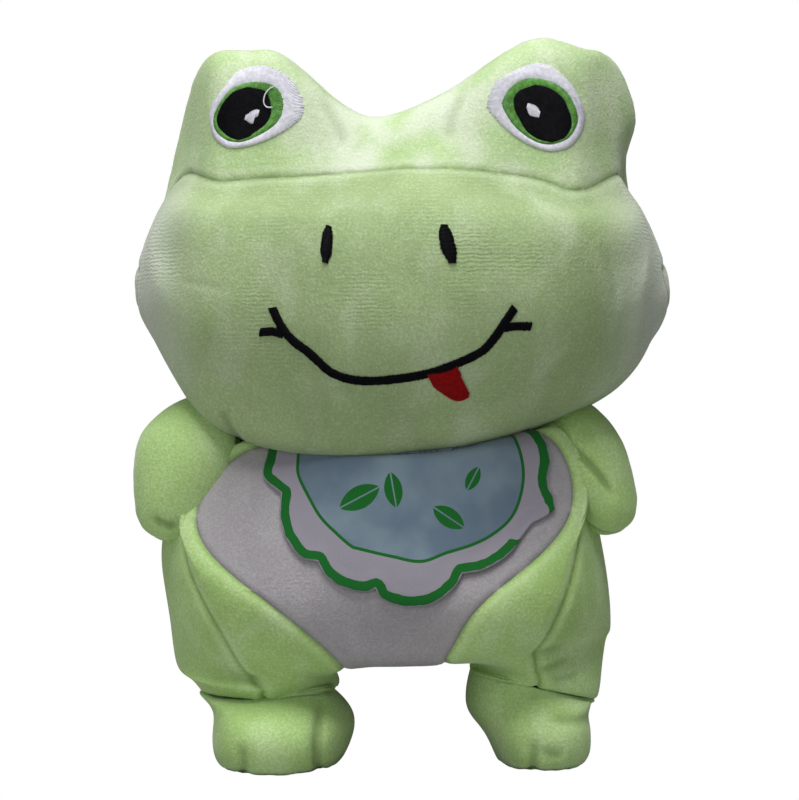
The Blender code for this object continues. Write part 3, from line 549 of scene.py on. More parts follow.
def foot_corner(side, shares, ring):
    z, scale, inner, ahead = ring
    ankle = ANKLES[side]
    sign = SIDE_SIGNS[side]
    out, forward = shares
    x = ankle["x"] + sign * out * scale * (ankle["out"] if out > 0 else ankle["in"] * inner)
    reach = ankle["toe"] * ahead if forward > 0 else ankle["heel"] * scale
    return Vector((x, ankle["y"] - forward * reach, z))


def ankle_ring(side, radius, rise):
    ankle = ANKLES[side]
    sign = SIDE_SIGNS[side]
    corners = []
    for out, forward in FOOT_CORNER_SHARES[side]:
        length = hypot(out, forward)
        reach = radius + ankle["bulge"] * FOOT_TOP_BULGE_SHARE if out > 0 else radius * ankle["leg_in"]
        x = ankle["x"] + sign * out / length * reach
        y = ankle["y"] - forward / length * radius
        corners.append(Vector((x, y, ankle_height(side, x) + rise)))
    return corners


def foot_form(side):
    bm = bmesh.new()
    shares = FOOT_CORNER_SHARES[side]
    outline = [[foot_corner(side, share, ring) for share in shares] for ring in FOOT_RINGS[side]]
    outline += [ankle_ring(side, ANKLE_RADIUS * size, rise) for rise, size in FOOT_TOP_RINGS]
    rings = [[bm.verts.new(point) for point in ring] for ring in outline]
    labels = (SOLE, UPPER, UPPER, UPPER, UPPER, UPPER, ANKLE_END)
    add_quads(bm, rings, lambda row, column: labels[row])
    for ring, label in ((rings[0], SOLE), (rings[-1], ANKLE_END)):
        add_fan_cap(bm, ring, middle_of(ring), lambda corner, label=label: label)
    return rounded_form("foot_form_" + side, bm)


# Arms

ARM_OUTER, ARM_INNER = range(2)


def arm_form(side):
    sizes = ARMS[side]
    top = Vector(sizes["top"])
    tip = Vector(sizes["tip"])
    along = (tip - top).normalized()
    away = Vector((SIDE_SIGNS[side], 0, 0))
    across = (away - along * away.dot(along)).normalized()
    front = Vector((0, -1, 0))
    aside = (front - along * front.dot(along)).normalized()
    bm = bmesh.new()
    rings = []
    for place, full in sizes["shares"]:
        middle = top.lerp(tip, place)
        ring = []
        for corner in range(ARM_SIDES):
            turn = 2 * pi * (corner + 0.5) / ARM_SIDES
            reach = across * cos(turn) * sizes["half"] + aside * sin(turn) * sizes["deep"]
            ring.append(bm.verts.new(middle + reach * full))
        rings.append(ring)
    add_quads(bm, rings, lambda row, column: ARM_OUTER if column in ARM_OUTER_STRIPS else ARM_INNER)
    for ring, end in ((rings[0], top), (rings[-1], tip)):
        add_fan_cap(bm, ring, end, lambda corner: ARM_OUTER if corner in (0, 2) else ARM_INNER)
    return rounded_form("arm_form_" + side, bm)


# Pieces

def place_mesh(name, corners, faces, material, attributes, sharp=None):
    """A finished piece at the origin, smooth but for the corners marked sharp."""
    mesh = bpy.data.meshes.new(name)
    mesh.from_pydata(corners.tolist(), [], faces)
    mesh.materials.append(material)
    mesh.shade_smooth()
    for key, values in attributes.items():
        attribute = mesh.attributes.new(key, "FLOAT", "POINT")
        attribute.data.foreach_set("value", np.asarray(values, np.float32))
    if sharp is not None:
        ends = np.zeros(len(mesh.edges) * 2, np.int64)
        mesh.edges.foreach_get("vertices", ends)
        attribute = mesh.attributes.new("sharp_edge", "BOOLEAN", "EDGE")
        attribute.data.foreach_set("value", sharp[ends.reshape(-1, 2)].all(axis=1))
    return put_in_scene(name, mesh)


def panel(name, form, labels, material):
    """The faces of some panels of a form, given the cloth's thickness inwards and closed round."""
    quads = form.quads[np.isin(form.labels, labels)]
    used, compact = np.unique(quads, return_inverse=True)
    quads = compact.reshape(quads.shape)
    outer = form.co[used]
    inner = outer - form.normals()[used] * CLOTH
    count = len(used)
    ends = quad_edges(quads)
    _, first, times = np.unique(np.sort(ends, axis=1), axis=0, return_index=True, return_counts=True)
    rim = ends[first[times == 1]]
    sides = np.column_stack([rim[:, 1], rim[:, 0], rim[:, 0] + count, rim[:, 1] + count])
    faces = np.vstack([quads, quads[:, ::-1] + count, sides])
    on_rim = np.zeros(count * 2, bool)
    on_rim[np.concatenate([rim.ravel(), rim.ravel() + count])] = True
    # Seam distances and fold shares go with the panel, for the plush's painted shade in seams and folds and
    # its painted highlight beside seams
    marks = {"seam": np.tile(form.seam[used], 2), "fold": np.tile(form.fold[used], 2)}
    return place_mesh(name, np.vstack([outer, inner]), faces.tolist(), material, marks, on_rim)


# Materials

class Nodes:
    """Short ways to lay out a material's nodes."""

    def __init__(self, name):
        self.material = bpy.data.materials.new(name)
        self.material.use_nodes = True
        self.tree = self.material.node_tree
        self.place = self.add("ShaderNodeTexCoord").outputs["Object"]

    def add(self, kind, inputs=(), **settings):
        node = self.tree.nodes.new(kind)
        for key, value in settings.items():
            setattr(node, key, value)
        for key, value in dict(inputs).items():
            self.put(node.inputs[key], value)
        return node

    def put(self, socket, value):
        if isinstance(value, bpy.types.NodeSocket):
            self.tree.links.new(value, socket)
        else:
            socket.default_value = value

    def maths(self, operation, first, second=0.0):
        return self.add("ShaderNodeMath", {0: first, 1: second}, operation=operation).outputs[0]

    def times(self, first, second):
        return self.maths("MULTIPLY", first, second)

    def plus(self, first, second):
        return self.maths("ADD", first, second)

    def mix(self, share, first, second):
        node = self.add("ShaderNodeMix", data_type="RGBA")
        self.put(node.inputs["Factor"], share)
        self.put(node.inputs[6], first)
        self.put(node.inputs[7], second)
        return node.outputs[2]

    def scatter(self, scale, detail=2.0, roughness=0.5, distortion=0.0, place=None):
        """Soft spots at a scale, over the object or a turned place on it."""
        node = self.add("ShaderNodeTexNoise", {
            "Vector": place or self.place, "Scale": scale, "Detail": detail,
            "Roughness": roughness, "Distortion": distortion,
        })
        return node.outputs["Fac"]

    def ramp(self, value, low, high, to_low=0.0, to_high=1.0):
        node = self.add("ShaderNodeMapRange", {
            "Value": value, "From Min": low, "From Max": high, "To Min": to_low, "To Max": to_high,
        }, interpolation_type="SMOOTHSTEP")
        return node.outputs["Result"]

    def turned(self, turn, stretch=(1.0, 1.0, 1.0)):
        """The place on the object, turned by degrees about the front and stretched."""
        node = self.add("ShaderNodeMapping", {
            "Vector": self.place, "Rotation": (0.0, radians(turn), 0.0), "Scale": stretch,
        })
        return node.outputs["Vector"]

    def bands(self, pitch, direction):
        """Wavering bands at a pitch, dark between threads."""
        node = self.add("ShaderNodeTexWave", {
            "Vector": self.place, "Scale": pi / (10 * pitch), **KNIT_WAVER,
        }, bands_direction=direction)
        return node.outputs["Fac"]

    def knit(self):
        """Rows and columns of knitted loops under the pile."""
        columns = self.times(self.bands(COLUMN_PITCH, "X"), COLUMN_SHARE)
        return self.times(self.bands(ROW_PITCH, "Z"), self.plus(columns, 1 - COLUMN_SHARE))

    def parts(self, place):
        return self.add("ShaderNodeSeparateXYZ", {0: place}).outputs

    def attribute(self, name):
        return self.add("ShaderNodeAttribute", attribute_name=name).outputs["Fac"]

    def finished(self, tone, height, relief, **settings):
        """The material with its colour, a relief (strength and depth) and its other settings."""
        strength, depth = relief
        bump = self.add("ShaderNodeBump", {"Height": height, "Strength": strength, "Distance": depth})
        values = {"Base Color": tone, "Normal": bump.outputs["Normal"]}
        values.update({key.replace("_", " "): value for key, value in settings.items()})
        for key, value in values.items():
            self.put(self.tree.nodes["Principled BSDF"].inputs[key], value)
        return self.material


def shade(colour, factor):
    return tuple(min(1.0, part * factor) for part in colour) + (1.0,)


# Knitted rows and columns of the plush
ROW_PITCH = 1.35 * MM
COLUMN_PITCH = 1.2 * MM
COLUMN_SHARE = 0.5
KNIT_WAVER = {"Distortion": 4.5, "Detail": 3.0, "Detail Scale": 1.6}
KNIT_SHADOW = 0.2
# Painted sheen towards the cheeks' sides, and a painted highlight on the brow: how far out and how deep each
# lies
CHEEK_PAINTED_SHEEN = (0.64, 0.66, 0.6, 1.0)
CHEEK_PAINTED_SHEEN_ACROSS = (0.062, 0.09)
CHEEK_PAINTED_SHEEN_DEPTH = (-0.012, 0.014)
BROW_PAINTED_HIGHLIGHT = (0.76, 0.77, 0.71, 1.0)
BROW_PAINTED_HIGHLIGHT_ACROSS = (0.012, 0.05)
# Share of the painted highlight on the rise of plush beside each seam
LIP_HIGHLIGHT_SHARE = 0.2
# Spots of the plush: scale, detail, roughness and distortion
DRIFT = (24.0, 3.0, 0.55, 0.5)
CLOUDS = (70.0, 2.0, 0.45, 0.3)
CLOUD_TURN = (30, (1.0, 1.0, 0.55))
SPECKS = (1150.0, 3.0, 0.68)
TUFTS = (480.0, 3.0, 0.62, 0.4)
KNIT_SPOTS = (38.0, 2.0)
# Where each change of the plush starts and ends, and its share there
PLUSH_RAMPS = {
    "drift": (0.34, 0.66),
    "clouds": (0.42, 0.78, 0.0, 0.55),
    "knit": (0.44, 0.66),
    "dark specks": (0.36, 0.6, 0.34, 0.0),
    "pale specks": (0.52, 0.74, 0.0, 0.3),
    "brow": (0.3, 0.6),
    # painted highlight on the rise of plush beside each seam
    "lip_highlight": (1.0 * MM, 2.2 * MM),
    "lip's end": (2.4 * MM, 5.0 * MM, 1.0, 0.0),
    # painted shade in each seam's groove
    "seam": (0.1 * MM, 1.3 * MM, 0.5, 0.0),
    # painted shade in each fold
    "fold": (0.15, 1.0, 0.0, 0.62),
}
PLUSH_RELIEF = (0.6, 0.55 * MM)
PLUSH_RELIEF_SHARES = {"knit": -0.34, "tufts": 0.9, "specks": 0.7}
SHEEN_TINT = (0.92, 0.96, 0.9, 1.0)


def plush(name, colour, deep, pale, knit_share, sheen, cheek_sheen_share=0.0, brow_highlight_share=0.0):
    """Short brushed plush: drifting patches, faint knitted rows and a fine speckled pile, with painted
    sheen, highlights and shade.
    """
    make = Nodes(name)

    def ramp(value, change):
        return make.ramp(value, *PLUSH_RAMPS[change])

    turn, stretch = CLOUD_TURN
    clouds = make.scatter(*CLOUDS, place=make.turned(turn, stretch))
    specks = make.scatter(*SPECKS)
    tufts = make.scatter(*TUFTS)
    knit = make.knit()
    knit_here = make.times(ramp(make.scatter(*KNIT_SPOTS), "knit"), knit_share)
    parts = make.parts(make.place)
    aside = make.maths("ABSOLUTE", parts["X"])
    # Painted sheen: paler plush towards the cheeks' sides, fading towards the back
    cheek_sheen = make.times(make.ramp(aside, *CHEEK_PAINTED_SHEEN_ACROSS, 0.0, cheek_sheen_share),
                       make.ramp(parts["Y"], *CHEEK_PAINTED_SHEEN_DEPTH, 1.0, 0.0))
    # Painted highlight: paler patches in the brow's middle, where the light from above falls
    brow = make.times(make.ramp(aside, *BROW_PAINTED_HIGHLIGHT_ACROSS, brow_highlight_share, 0.0), ramp(clouds, "brow"))
    seam = make.attribute("seam")
    # Painted highlight on the rise of plush just beside each seam
    lip_highlight = make.times(ramp(seam, "lip_highlight"), ramp(seam, "lip's end"))
    tone = make.mix(ramp(make.scatter(*DRIFT), "drift"), (*deep, 1.0), (*colour, 1.0))
    for share, tone_there in (
        (ramp(clouds, "clouds"), (*pale, 1.0)),
        (make.times(knit, make.times(knit_here, KNIT_SHADOW)), shade(deep, 0.55)),
        (ramp(specks, "dark specks"), shade(deep, 0.72)),
        (ramp(specks, "pale specks"), shade(pale, 1.12)),
        # painted sheen on the cheeks' sides
        (cheek_sheen, CHEEK_PAINTED_SHEEN),
        # painted highlight on the brow's middle
        (brow, BROW_PAINTED_HIGHLIGHT),
        # painted highlight beside the seams
        (make.times(lip_highlight, LIP_HIGHLIGHT_SHARE), shade(pale, 1.1)),
        # painted shade in the seam grooves
        (ramp(seam, "seam"), shade(deep, 0.5)),
        # painted shade in the folds
        (ramp(make.attribute("fold"), "fold"), shade(deep, 0.5)),
    ):
        tone = make.mix(share, tone, tone_there)
    height = make.times(knit, make.times(knit_here, PLUSH_RELIEF_SHARES["knit"]))
    height = make.plus(height, make.times(tufts, PLUSH_RELIEF_SHARES["tufts"]))
    height = make.plus(height, make.times(specks, PLUSH_RELIEF_SHARES["specks"]))
    return make.finished(tone, height, PLUSH_RELIEF, Roughness=0.95, Specular_IOR_Level=0.08,
                         Sheen_Weight=sheen, Sheen_Roughness=0.38, Sheen_Tint=SHEEN_TINT)


# Embroidery yarn: spots from stitch to stitch, fine fibres, and the relief
YARN_SPOTS = (700.0, 2.0, 0.6)
YARN_FIBRES = (5200.0, 1.0, 0.5)
YARN_SPAN = (0.3, 0.7)
YARN_RELIEF = (0.35, 0.05 * MM)


def thread(name, colour, dark_share, roughness, gloss=0.22):
    """Shiny embroidery yarn, a little uneven from stitch to stitch."""
    make = Nodes(name)
    uneven = make.scatter(*YARN_SPOTS)
    tone = make.mix(make.ramp(uneven, *YARN_SPAN), shade(colour, dark_share), (*colour, 1.0))
    rough = make.ramp(uneven, *YARN_SPAN, roughness * 1.15, roughness * 0.85)
    return make.finished(tone, make.scatter(*YARN_FIBRES), YARN_RELIEF, Roughness=rough,
                         Specular_IOR_Level=gloss)


# The brow's plush has paler, whiter colours than the face's, partly painted light from above
PLUSH_BROW = plush("plush_brow", (0.5, 0.66, 0.34), (0.4, 0.56, 0.25), (0.72, 0.77, 0.6), 0.15, 0.3,
                   brow_highlight_share=0.45)
PLUSH_FACE = plush("plush_face", (0.42, 0.55, 0.27), (0.34, 0.45, 0.215), (0.6, 0.69, 0.48), 1.0, 0.3,
                   cheek_sheen_share=0.75)
PLUSH_GREEN = plush("plush_green", (0.5, 0.72, 0.28), (0.4, 0.6, 0.2), (0.68, 0.84, 0.5), 0.25, 0.3)
PLUSH_WHITE = plush("plush_white", (0.43, 0.405, 0.42), (0.38, 0.36, 0.38), (0.49, 0.47, 0.48), 0.3, 0.16)
THREADS = {
    "thread_white": thread("thread_white", (0.8, 0.79, 0.86), 0.8, 0.42),
    "thread_green": thread("thread_green", (0.15, 0.4, 0.08), 0.55, 0.4),
    "thread_black": thread("thread_black", (0.004, 0.004, 0.006), 0.5, 0.55, 0.08),
    "thread_red": thread("thread_red", (0.36, 0.003, 0.005), 0.7, 0.55, 0.12),
}

# Swellings and hollows of the stuffing: place, reach and height
HEAD_SWELLINGS = (
    ((0.08, 0.0, 0.219), 0.024, 0.0026),
    ((0.08, 0.006, 0.199), 0.022, -0.0054),
    ((0.086, -0.004, 0.147), 0.022, 0.002),
)
# Folds seen from the front: depth, width, and the line across and up, in millimetres
HEAD_FOLDS = (
    (0.6, 1.5, ((66.7, 173.7), (68.7, 166.1), (70.4, 159.4), (71.1, 151.4))),
    (0.35, 0.8, ((-73.2, 162.4), (-67.0, 160.4), (-60.8, 159.1), (-52.1, 158.5))),
    (1.2, 1.8, ((-59.9, 121.4), (-56.9, 114.4), (-53.9, 109.4), (-50.9, 105.4))),
    (0.8, 1.6, ((51.9, 236.5), (55.2, 231.2), (57.9, 227.2), (62.0, 222.0))),
    (0.9, 3.0, ((-27.0, 226.0), (-20.0, 214.0), (-17.0, 204.0))),
    (0.9, 3.0, ((22.0, 229.0), (17.0, 216.0), (16.0, 205.0))),
)
BODY_FOLDS = (
    (1.1, 1.5, ((43.9, 32.4), (50.5, 34.2), (55.4, 36.3), (59.0, 38.0))),
    (1.0, 1.5, ((40.9, 38.4), (48.4, 39.2), (54.6, 40.8), (58.0, 42.2))),
    (0.8, 1.4, ((50.0, 30.0), (57.0, 30.8), (62.0, 32.2))),
    (0.8, 1.4, ((-58.0, 33.0), (-54.0, 31.6), (-48.0, 31.0), (-43.0, 31.4))),
    (0.6, 1.5, ((-36.0, 33.0), (-29.0, 31.0), (-22.0, 31.4))),
)
LEFT_FOOT_FOLDS = (
    (1.7, 1.9, ((-26.0, 26.0), (-26.3, 15.4), (-26.6, 9.0), (-26.6, -6.0))),
    (1.2, 2.2, ((-51.5, 12.0), (-51.2, 6.0), (-51.0, -6.0))),
)
RIGHT_FOOT_FOLDS = (
    (1.3, 2.2, ((44.6, 13.0), (44.2, 8.0), (43.9, 3.0), (43.9, -6.0))),
    (1.2, 2.8, ((46.0, 19.0), (56.0, 17.6), (64.0, 16.6), (74.0, 16.4))),
    (1.0, 2.4, ((45.5, 8.0), (49.5, 6.0), (55.0, 6.0))),
)
LEFT_ARM_FOLDS = (
    (1.6, 1.6, ((-82.8, 84.6), (-80.1, 82.0), (-76.1, 80.6), (-72.5, 81.6))),
)
RIGHT_ARM_FOLDS = (
    (1.9, 1.6, ((52.0, 110.4), (57.9, 106.4), (62.2, 102.7), (66.2, 98.4), (69.5, 93.8), (72.5, 89.0))),
)

# Forms drawn in

head = head_form()
for swelling in HEAD_SWELLINGS:
    head.swell(*swelling)
body = body_form()
feet = {side: foot_form(side) for side in ANKLES}
arms = {side: arm_form(side) for side in ARMS}
for form, folds, groove in (
    (head, HEAD_FOLDS, GROOVE_DEPTH), (body, BODY_FOLDS, GROOVE_DEPTH),
    (feet["left"], LEFT_FOOT_FOLDS, FOOT_GROOVE_DEPTH), (feet["right"], RIGHT_FOOT_FOLDS, FOOT_GROOVE_DEPTH),
    (arms["left"], LEFT_ARM_FOLDS, GROOVE_DEPTH), (arms["right"], RIGHT_ARM_FOLDS, GROOVE_DEPTH),
):
    form.find_seams()
    form.draw_in_seams(groove)
    for depth, width, line in folds:
        form.crease(np.array(line) * MM, depth * MM, width * MM)

# How full each skin is of stuffing, and where each would bend from one body to the next; no skin is filled
# or bent by them
FULL = 0.85
SOFT = 0.7
ANKLE_STILL_Z = 0.034
ANKLE_FREE_Z = 0.014
SHOULDER_FREE_SHARE = 0.45


def skin(name, form, labels, cloth, nodes, fill):
    obj = panel(name, form, labels, cloth)
    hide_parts(*nodes)
    return obj


# The head's plush panels, in place of the head's panel and stuffing nodes
for name, label, cloth, nodes in (
    ("skin_forehead", FOREHEAD, PLUSH_BROW, ("forehead_panel",)),
    ("skin_face", FACE, PLUSH_FACE, ("face_panel", "head_stuffing")),
    ("skin_head_back_left", BACK_LEFT, PLUSH_FACE, ("head_back_left",)),
    ("skin_head_back_right", BACK_RIGHT, PLUSH_FACE, ("head_back_right",)),
):
    obj = skin(name, head, (label,), cloth, nodes, FULL)
    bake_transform(obj)

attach(skin("skin_belly", body, (BELLY,), PLUSH_WHITE, ("belly_panel", "body_stuffing"), FULL), "torso")
for side, thigh, back in (("left", THIGH_LEFT, SIDE_LEFT), ("right", THIGH_RIGHT, SIDE_RIGHT)):
    ankle = (ANKLES[side]["x"], ANKLES[side]["y"])
    top = Vector(ARMS[side]["top"])
    tip = Vector(ARMS[side]["tip"])
    leg_bend = ("foot_", (*ankle, ANKLE_STILL_Z), (*ankle, ANKLE_FREE_Z))
    arm_bend = ("arm_", top, top.lerp(tip, SHOULDER_FREE_SHARE))
    for name, form, labels, nodes, fill, (limb, still, free) in (
        ("thigh", body, (thigh,), ("thigh_panel_",), FULL, leg_bend),
        ("back", body, (back,), ("back_panel_",), FULL, leg_bend),
        ("foot_upper", feet[side], (UPPER, ANKLE_END), ("foot_upper_", "foot_stuffing_"), SOFT, leg_bend),
        ("foot_sole", feet[side], (SOLE,), ("foot_sole_",), SOFT, leg_bend),
        ("arm_outer", arms[side], (ARM_OUTER,), ("arm_outer_", "arm_stuffing_"), SOFT, arm_bend),
        ("arm_inner", arms[side], (ARM_INNER,), ("arm_inner_",), SOFT, arm_bend),
    ):
        nodes = [node + side for node in nodes]
        obj = skin("skin_" + name + "_" + side, form, labels, PLUSH_GREEN, nodes, fill)
        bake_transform(obj)
        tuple(still)
        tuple(free)

neck = panel("skin_neck_top", body, (NECK_TOP,), PLUSH_GREEN)
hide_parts("neck_stuffing")
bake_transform(neck)

# Embroidery

THREAD_PITCH = 0.42 * MM
THREAD_RADIUS = 0.25 * MM
THREAD_SIDES = 5
STITCH_POINTS = 7
STITCH_ROUND_POWER = 0.45
STITCH_RAGGED_SHARE = 0.1
RING_RAGGED_STEP = 0.7
STROKE_RAGGED_STEP = 0.9
NORMAL_REACH = 5.0 * MM
CURVE_STEPS = 12
RING_STEPS = 720
OUTLINE_STEPS = 360
FRONT_Y = -1.0
head_tree = head.tree()


def spline(before, here, after, second, share):
    square = share * share
    cube = square * share
    return 0.5 * (
        2 * here + (after - before) * share
        + (2 * before - 5 * here + 4 * after - second) * square
        + (3 * here - before - 3 * after + second) * cube
    )


def smooth_curve(points, count, closed=False):
    """A smooth line through points, open or closed, as count even places."""
    points = np.array(points, float)
    if closed:
        padded = np.vstack([points[-1:], points, points[:2]])
    else:
        padded = np.vstack([2 * points[0] - points[1], points, 2 * points[-1] - points[-2]])
    line = [
        spline(*padded[index:index + 4], share)
        for index in range(len(padded) - 3) for share in np.linspace(0, 1, CURVE_STEPS, endpoint=False)
    ]
    line = np.array(line + [points[0] if closed else points[-1]])
    gone = np.concatenate([[0], np.cumsum(np.linalg.norm(np.diff(line, axis=0), axis=1))])
    wanted = np.linspace(0, gone[-1], count + closed)
    even = np.column_stack([np.interp(wanted, gone, line[:, axis]) for axis in range(2)])
    return even[:-1] if closed else even


def line_length(line):
    return np.linalg.norm(np.diff(np.array(line, float), axis=0), axis=1).sum()


def seen_place(tree, x, z):
    """The place and direction of a form's surface behind a flat place seen from the front."""
    return tree.ray_cast(Vector((x, FRONT_Y, z)), Vector((0, 1, 0)))[:2]


def standing_off(tree, point, lift):
    """A place on a form moved out by lift, along the surface's direction round about."""
    normal = Vector()
    for _, near, _, distance in tree.find_nearest_range(point, NORMAL_REACH):
        normal += near * (NORMAL_REACH - distance)
    return point + normal.normalized() * lift


def on_face(x, z, lift):
    return standing_off(head_tree, seen_place(head_tree, x, z)[0], lift)


def stitch(start, end, low, high):
    """One satin stitch between two flat places: low at both ends and padded up between."""
    points = []
    for step in range(STITCH_POINTS):
        share = step / (STITCH_POINTS - 1)
        x, z = start + (end - start) * share
        lift = low + (high - low) * max(0.0, sin(pi * share)) ** STITCH_ROUND_POWER
        points.append(on_face(x, z, lift))
    return points


def thread_tree():
    """Nodes that make a tube of yarn along every line of a mesh."""
    tree = bpy.data.node_groups.new("yarn_along_lines", "GeometryNodeTree")
    for name, kind, direction in (
        ("Lines", "NodeSocketGeometry", "INPUT"),
        ("Thread radius", "NodeSocketFloat", "INPUT"),
        ("Sides", "NodeSocketInt", "INPUT"),
        ("Thread material", "NodeSocketMaterial", "INPUT"),
        ("Yarn", "NodeSocketGeometry", "OUTPUT"),
    ):
        tree.interface.new_socket(name=name, in_out=direction, socket_type=kind)
    given, result, curve, circle, tube, smooth, real, paint = (tree.nodes.new(kind) for kind in (
        "NodeGroupInput", "NodeGroupOutput", "GeometryNodeMeshToCurve", "GeometryNodeCurvePrimitiveCircle",
        "GeometryNodeCurveToMesh", "GeometryNodeSetShadeSmooth", "GeometryNodeRealizeInstances",
        "GeometryNodeSetMaterial",
    ))
    for start, output, end, socket in (
        (given, "Lines", curve, "Mesh"),
        (given, "Thread radius", circle, "Radius"),
        (given, "Sides", circle, "Resolution"),
        (curve, "Curve", tube, "Curve"),
        (circle, "Curve", tube, "Profile Curve"),
        (tube, "Mesh", smooth, "Geometry"),
        (smooth, "Geometry", real, "Geometry"),
        (real, "Geometry", paint, "Geometry"),
        (given, "Thread material", paint, "Material"),
        (paint, "Geometry", result, "Yarn"),
    ):
        tree.links.new(start.outputs[output], end.inputs[socket])
    tube.inputs["Fill Caps"].default_value = True
    return tree


YARN = thread_tree()


def yarn(name, lines, material):
    """Tubes of yarn along lines of points, as one plain mesh."""
    corners, edges = [], []
    for line in lines:
        start = len(corners)
        corners.extend(line)
        edges.extend((start + step, start + step + 1) for step in range(len(line) - 1))
    mesh = bpy.data.meshes.new(name + "_lines")
    mesh.from_pydata(corners, edges, [])
    guide = put_in_scene(name + "_lines", mesh)
    make = guide.modifiers.new("yarn", "NODES")
    make.node_group = YARN
    values = {"Thread radius": THREAD_RADIUS, "Sides": THREAD_SIDES, "Thread material": material}
    for item in YARN.interface.items_tree:
        if item.item_type == "SOCKET" and item.name in values:
            make[item.identifier] = values[item.name]
    made = finished_mesh(guide)
    bpy.data.objects.remove(guide, do_unlink=True)
    made.name = name
    return put_in_scene(name, made)


def stitched(name, lines, slot):
    """Embroidery in the place of the node whose name it bears."""
    obj = yarn(name, lines, THREADS[slot])
    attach(obj, "head")
    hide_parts(name.replace("_satin", ""))


def ragged(index, step, x):
    """How much longer or shorter than drawn a stitch is."""
    return STITCH_RAGGED_SHARE * noise.noise(Vector((index * step, x / MM, 0)))


def facing_places(inner, outer):
    """Two closed lines whose places face each other, as seen from the inner one's middle."""
    count = int(line_length(outer) / THREAD_PITCH)
    turn = np.linspace(-pi, pi, count, endpoint=False)
    middle = np.mean(inner, axis=0)
    lines = []
    for points in (inner, outer):
        fine = smooth_curve(points, RING_STEPS, closed=True)
        angles = np.arctan2(fine[:, 1] - middle[1], fine[:, 0] - middle[0])
        order = np.argsort(angles)
        wrapped = np.concatenate([angles[order] - 2 * pi, angles[order], angles[order] + 2 * pi])
        lines.append(np.column_stack([
            np.interp(turn, wrapped, np.tile(fine[order, axis], 3)) for axis in range(2)
        ]))
    return lines


def ring_stitches(inside, outside, low, high):
    """Stitches that run out between two closed flat lines with equal numbers of places."""
    return [
        stitch(start, end + (end - start) * ragged(index, RING_RAGGED_STEP, start[0]), low, high)
        for index, (start, end) in enumerate(zip(inside, outside))
    ]


def fill_rows(outline, lean, low, high):
    """Stitches side by side across a closed outline, running in the direction of lean."""
    fine = smooth_curve(outline, OUTLINE_STEPS, closed=True)
    turn = radians(lean)
    along = np.array([cos(turn), sin(turn)])
    aside = np.array([-sin(turn), cos(turn)])
    across = fine @ aside
    run = fine @ along
    lines = []
    rows = int((across.max() - across.min()) / THREAD_PITCH)
    for row in range(rows):
        level = across.min() + (row + 0.5) * (across.max() - across.min()) / rows
        near = np.abs(across - level) < THREAD_PITCH
        if near.sum() > 1:
            start, end = (along * value + aside * level for value in (run[near].min(), run[near].max()))
            lines.append(stitch(start, end, low, high))
    return lines


def stroke_stitches(points, width, low, high, rounded_ends=False):
    """Satin stitches across a flat stroke that follows points."""
    points = np.array(points) * MM
    count = max(3, int(line_length(points) / THREAD_PITCH))
    line = smooth_curve(points, count)
    lines = []
    for index, here in enumerate(line):
        along = line[min(index + 1, count - 1)] - line[max(index - 1, 0)]
        along /= np.linalg.norm(along)
        aside = np.array([-along[1], along[0]])
        half = width / 2
        if rounded_ends:
            share = index / (count - 1)
            half *= max(ROUND_END_SHARE, 1 - abs(2 * share - 1) ** ROUND_END_POWER) ** 0.5
        half *= 1 + 2 * ragged(index, STROKE_RAGGED_STEP, here[0])
        slant = along * half * STROKE_SLANT
        lines.append(stitch(here - aside * half - slant, here + aside * half + slant, low, high))
    return lines


# Outlines of the eyes' satin stitch, in millimetres across and up
EYE_WHITES = {
    "left": ((-63.0, 217.7), (-62.0, 221.5), (-57.6, 227.4), (-54.7, 231.3), (-50.5, 233.3), (-45.8, 233.9),
             (-41.4, 232.7), (-37.5, 230.4), (-34.6, 227.1), (-32.5, 223.0), (-31.9, 219.5), (-32.8, 215.9),
             (-36.0, 213.0), (-39.9, 210.6), (-44.3, 208.5), (-48.7, 207.1), (-52.9, 206.2), (-56.4, 206.2),
             (-59.3, 207.7), (-61.7, 210.6), (-62.7, 214.2)),
    "right": ((29.1, 221.0), (30.0, 224.4), (31.7, 227.6), (34.5, 230.0), (38.3, 232.1), (42.2, 233.8),
              (46.3, 234.7), (50.5, 233.5), (53.6, 231.0), (56.8, 227.9), (59.2, 224.4), (60.9, 220.6),
              (61.5, 216.8), (60.6, 212.6), (58.5, 208.8), (55.4, 206.0), (51.2, 205.0), (47.0, 205.5),
              (42.9, 207.1), (38.7, 209.5), (34.9, 212.6), (31.4, 216.4), (29.6, 218.9)),
}
IRISES = {
    "left": ((-61.5, 216.2), (-60.7, 218.9), (-57.8, 223.6), (-54.7, 226.5), (-51.1, 227.9), (-47.0, 228.2),
             (-42.8, 227.4), (-39.9, 225.1), (-38.6, 221.8), (-38.6, 218.9), (-39.9, 215.4), (-42.8, 212.4),
             (-47.0, 210.0), (-50.5, 208.5), (-53.5, 208.0), (-56.8, 208.6), (-59.7, 210.7), (-61.2, 213.2)),
    "right": ((34.0, 220.6), (34.9, 223.4), (36.9, 226.2), (39.8, 228.3), (42.9, 229.3), (47.0, 229.1),
              (50.9, 227.9), (54.3, 225.8), (56.8, 222.7), (58.5, 218.9), (59.0, 215.7), (57.9, 212.4),
              (55.7, 209.4), (52.0, 207.6), (47.9, 207.3), (43.9, 208.6), (40.1, 211.2), (37.3, 214.0),
              (35.2, 217.5)),
}
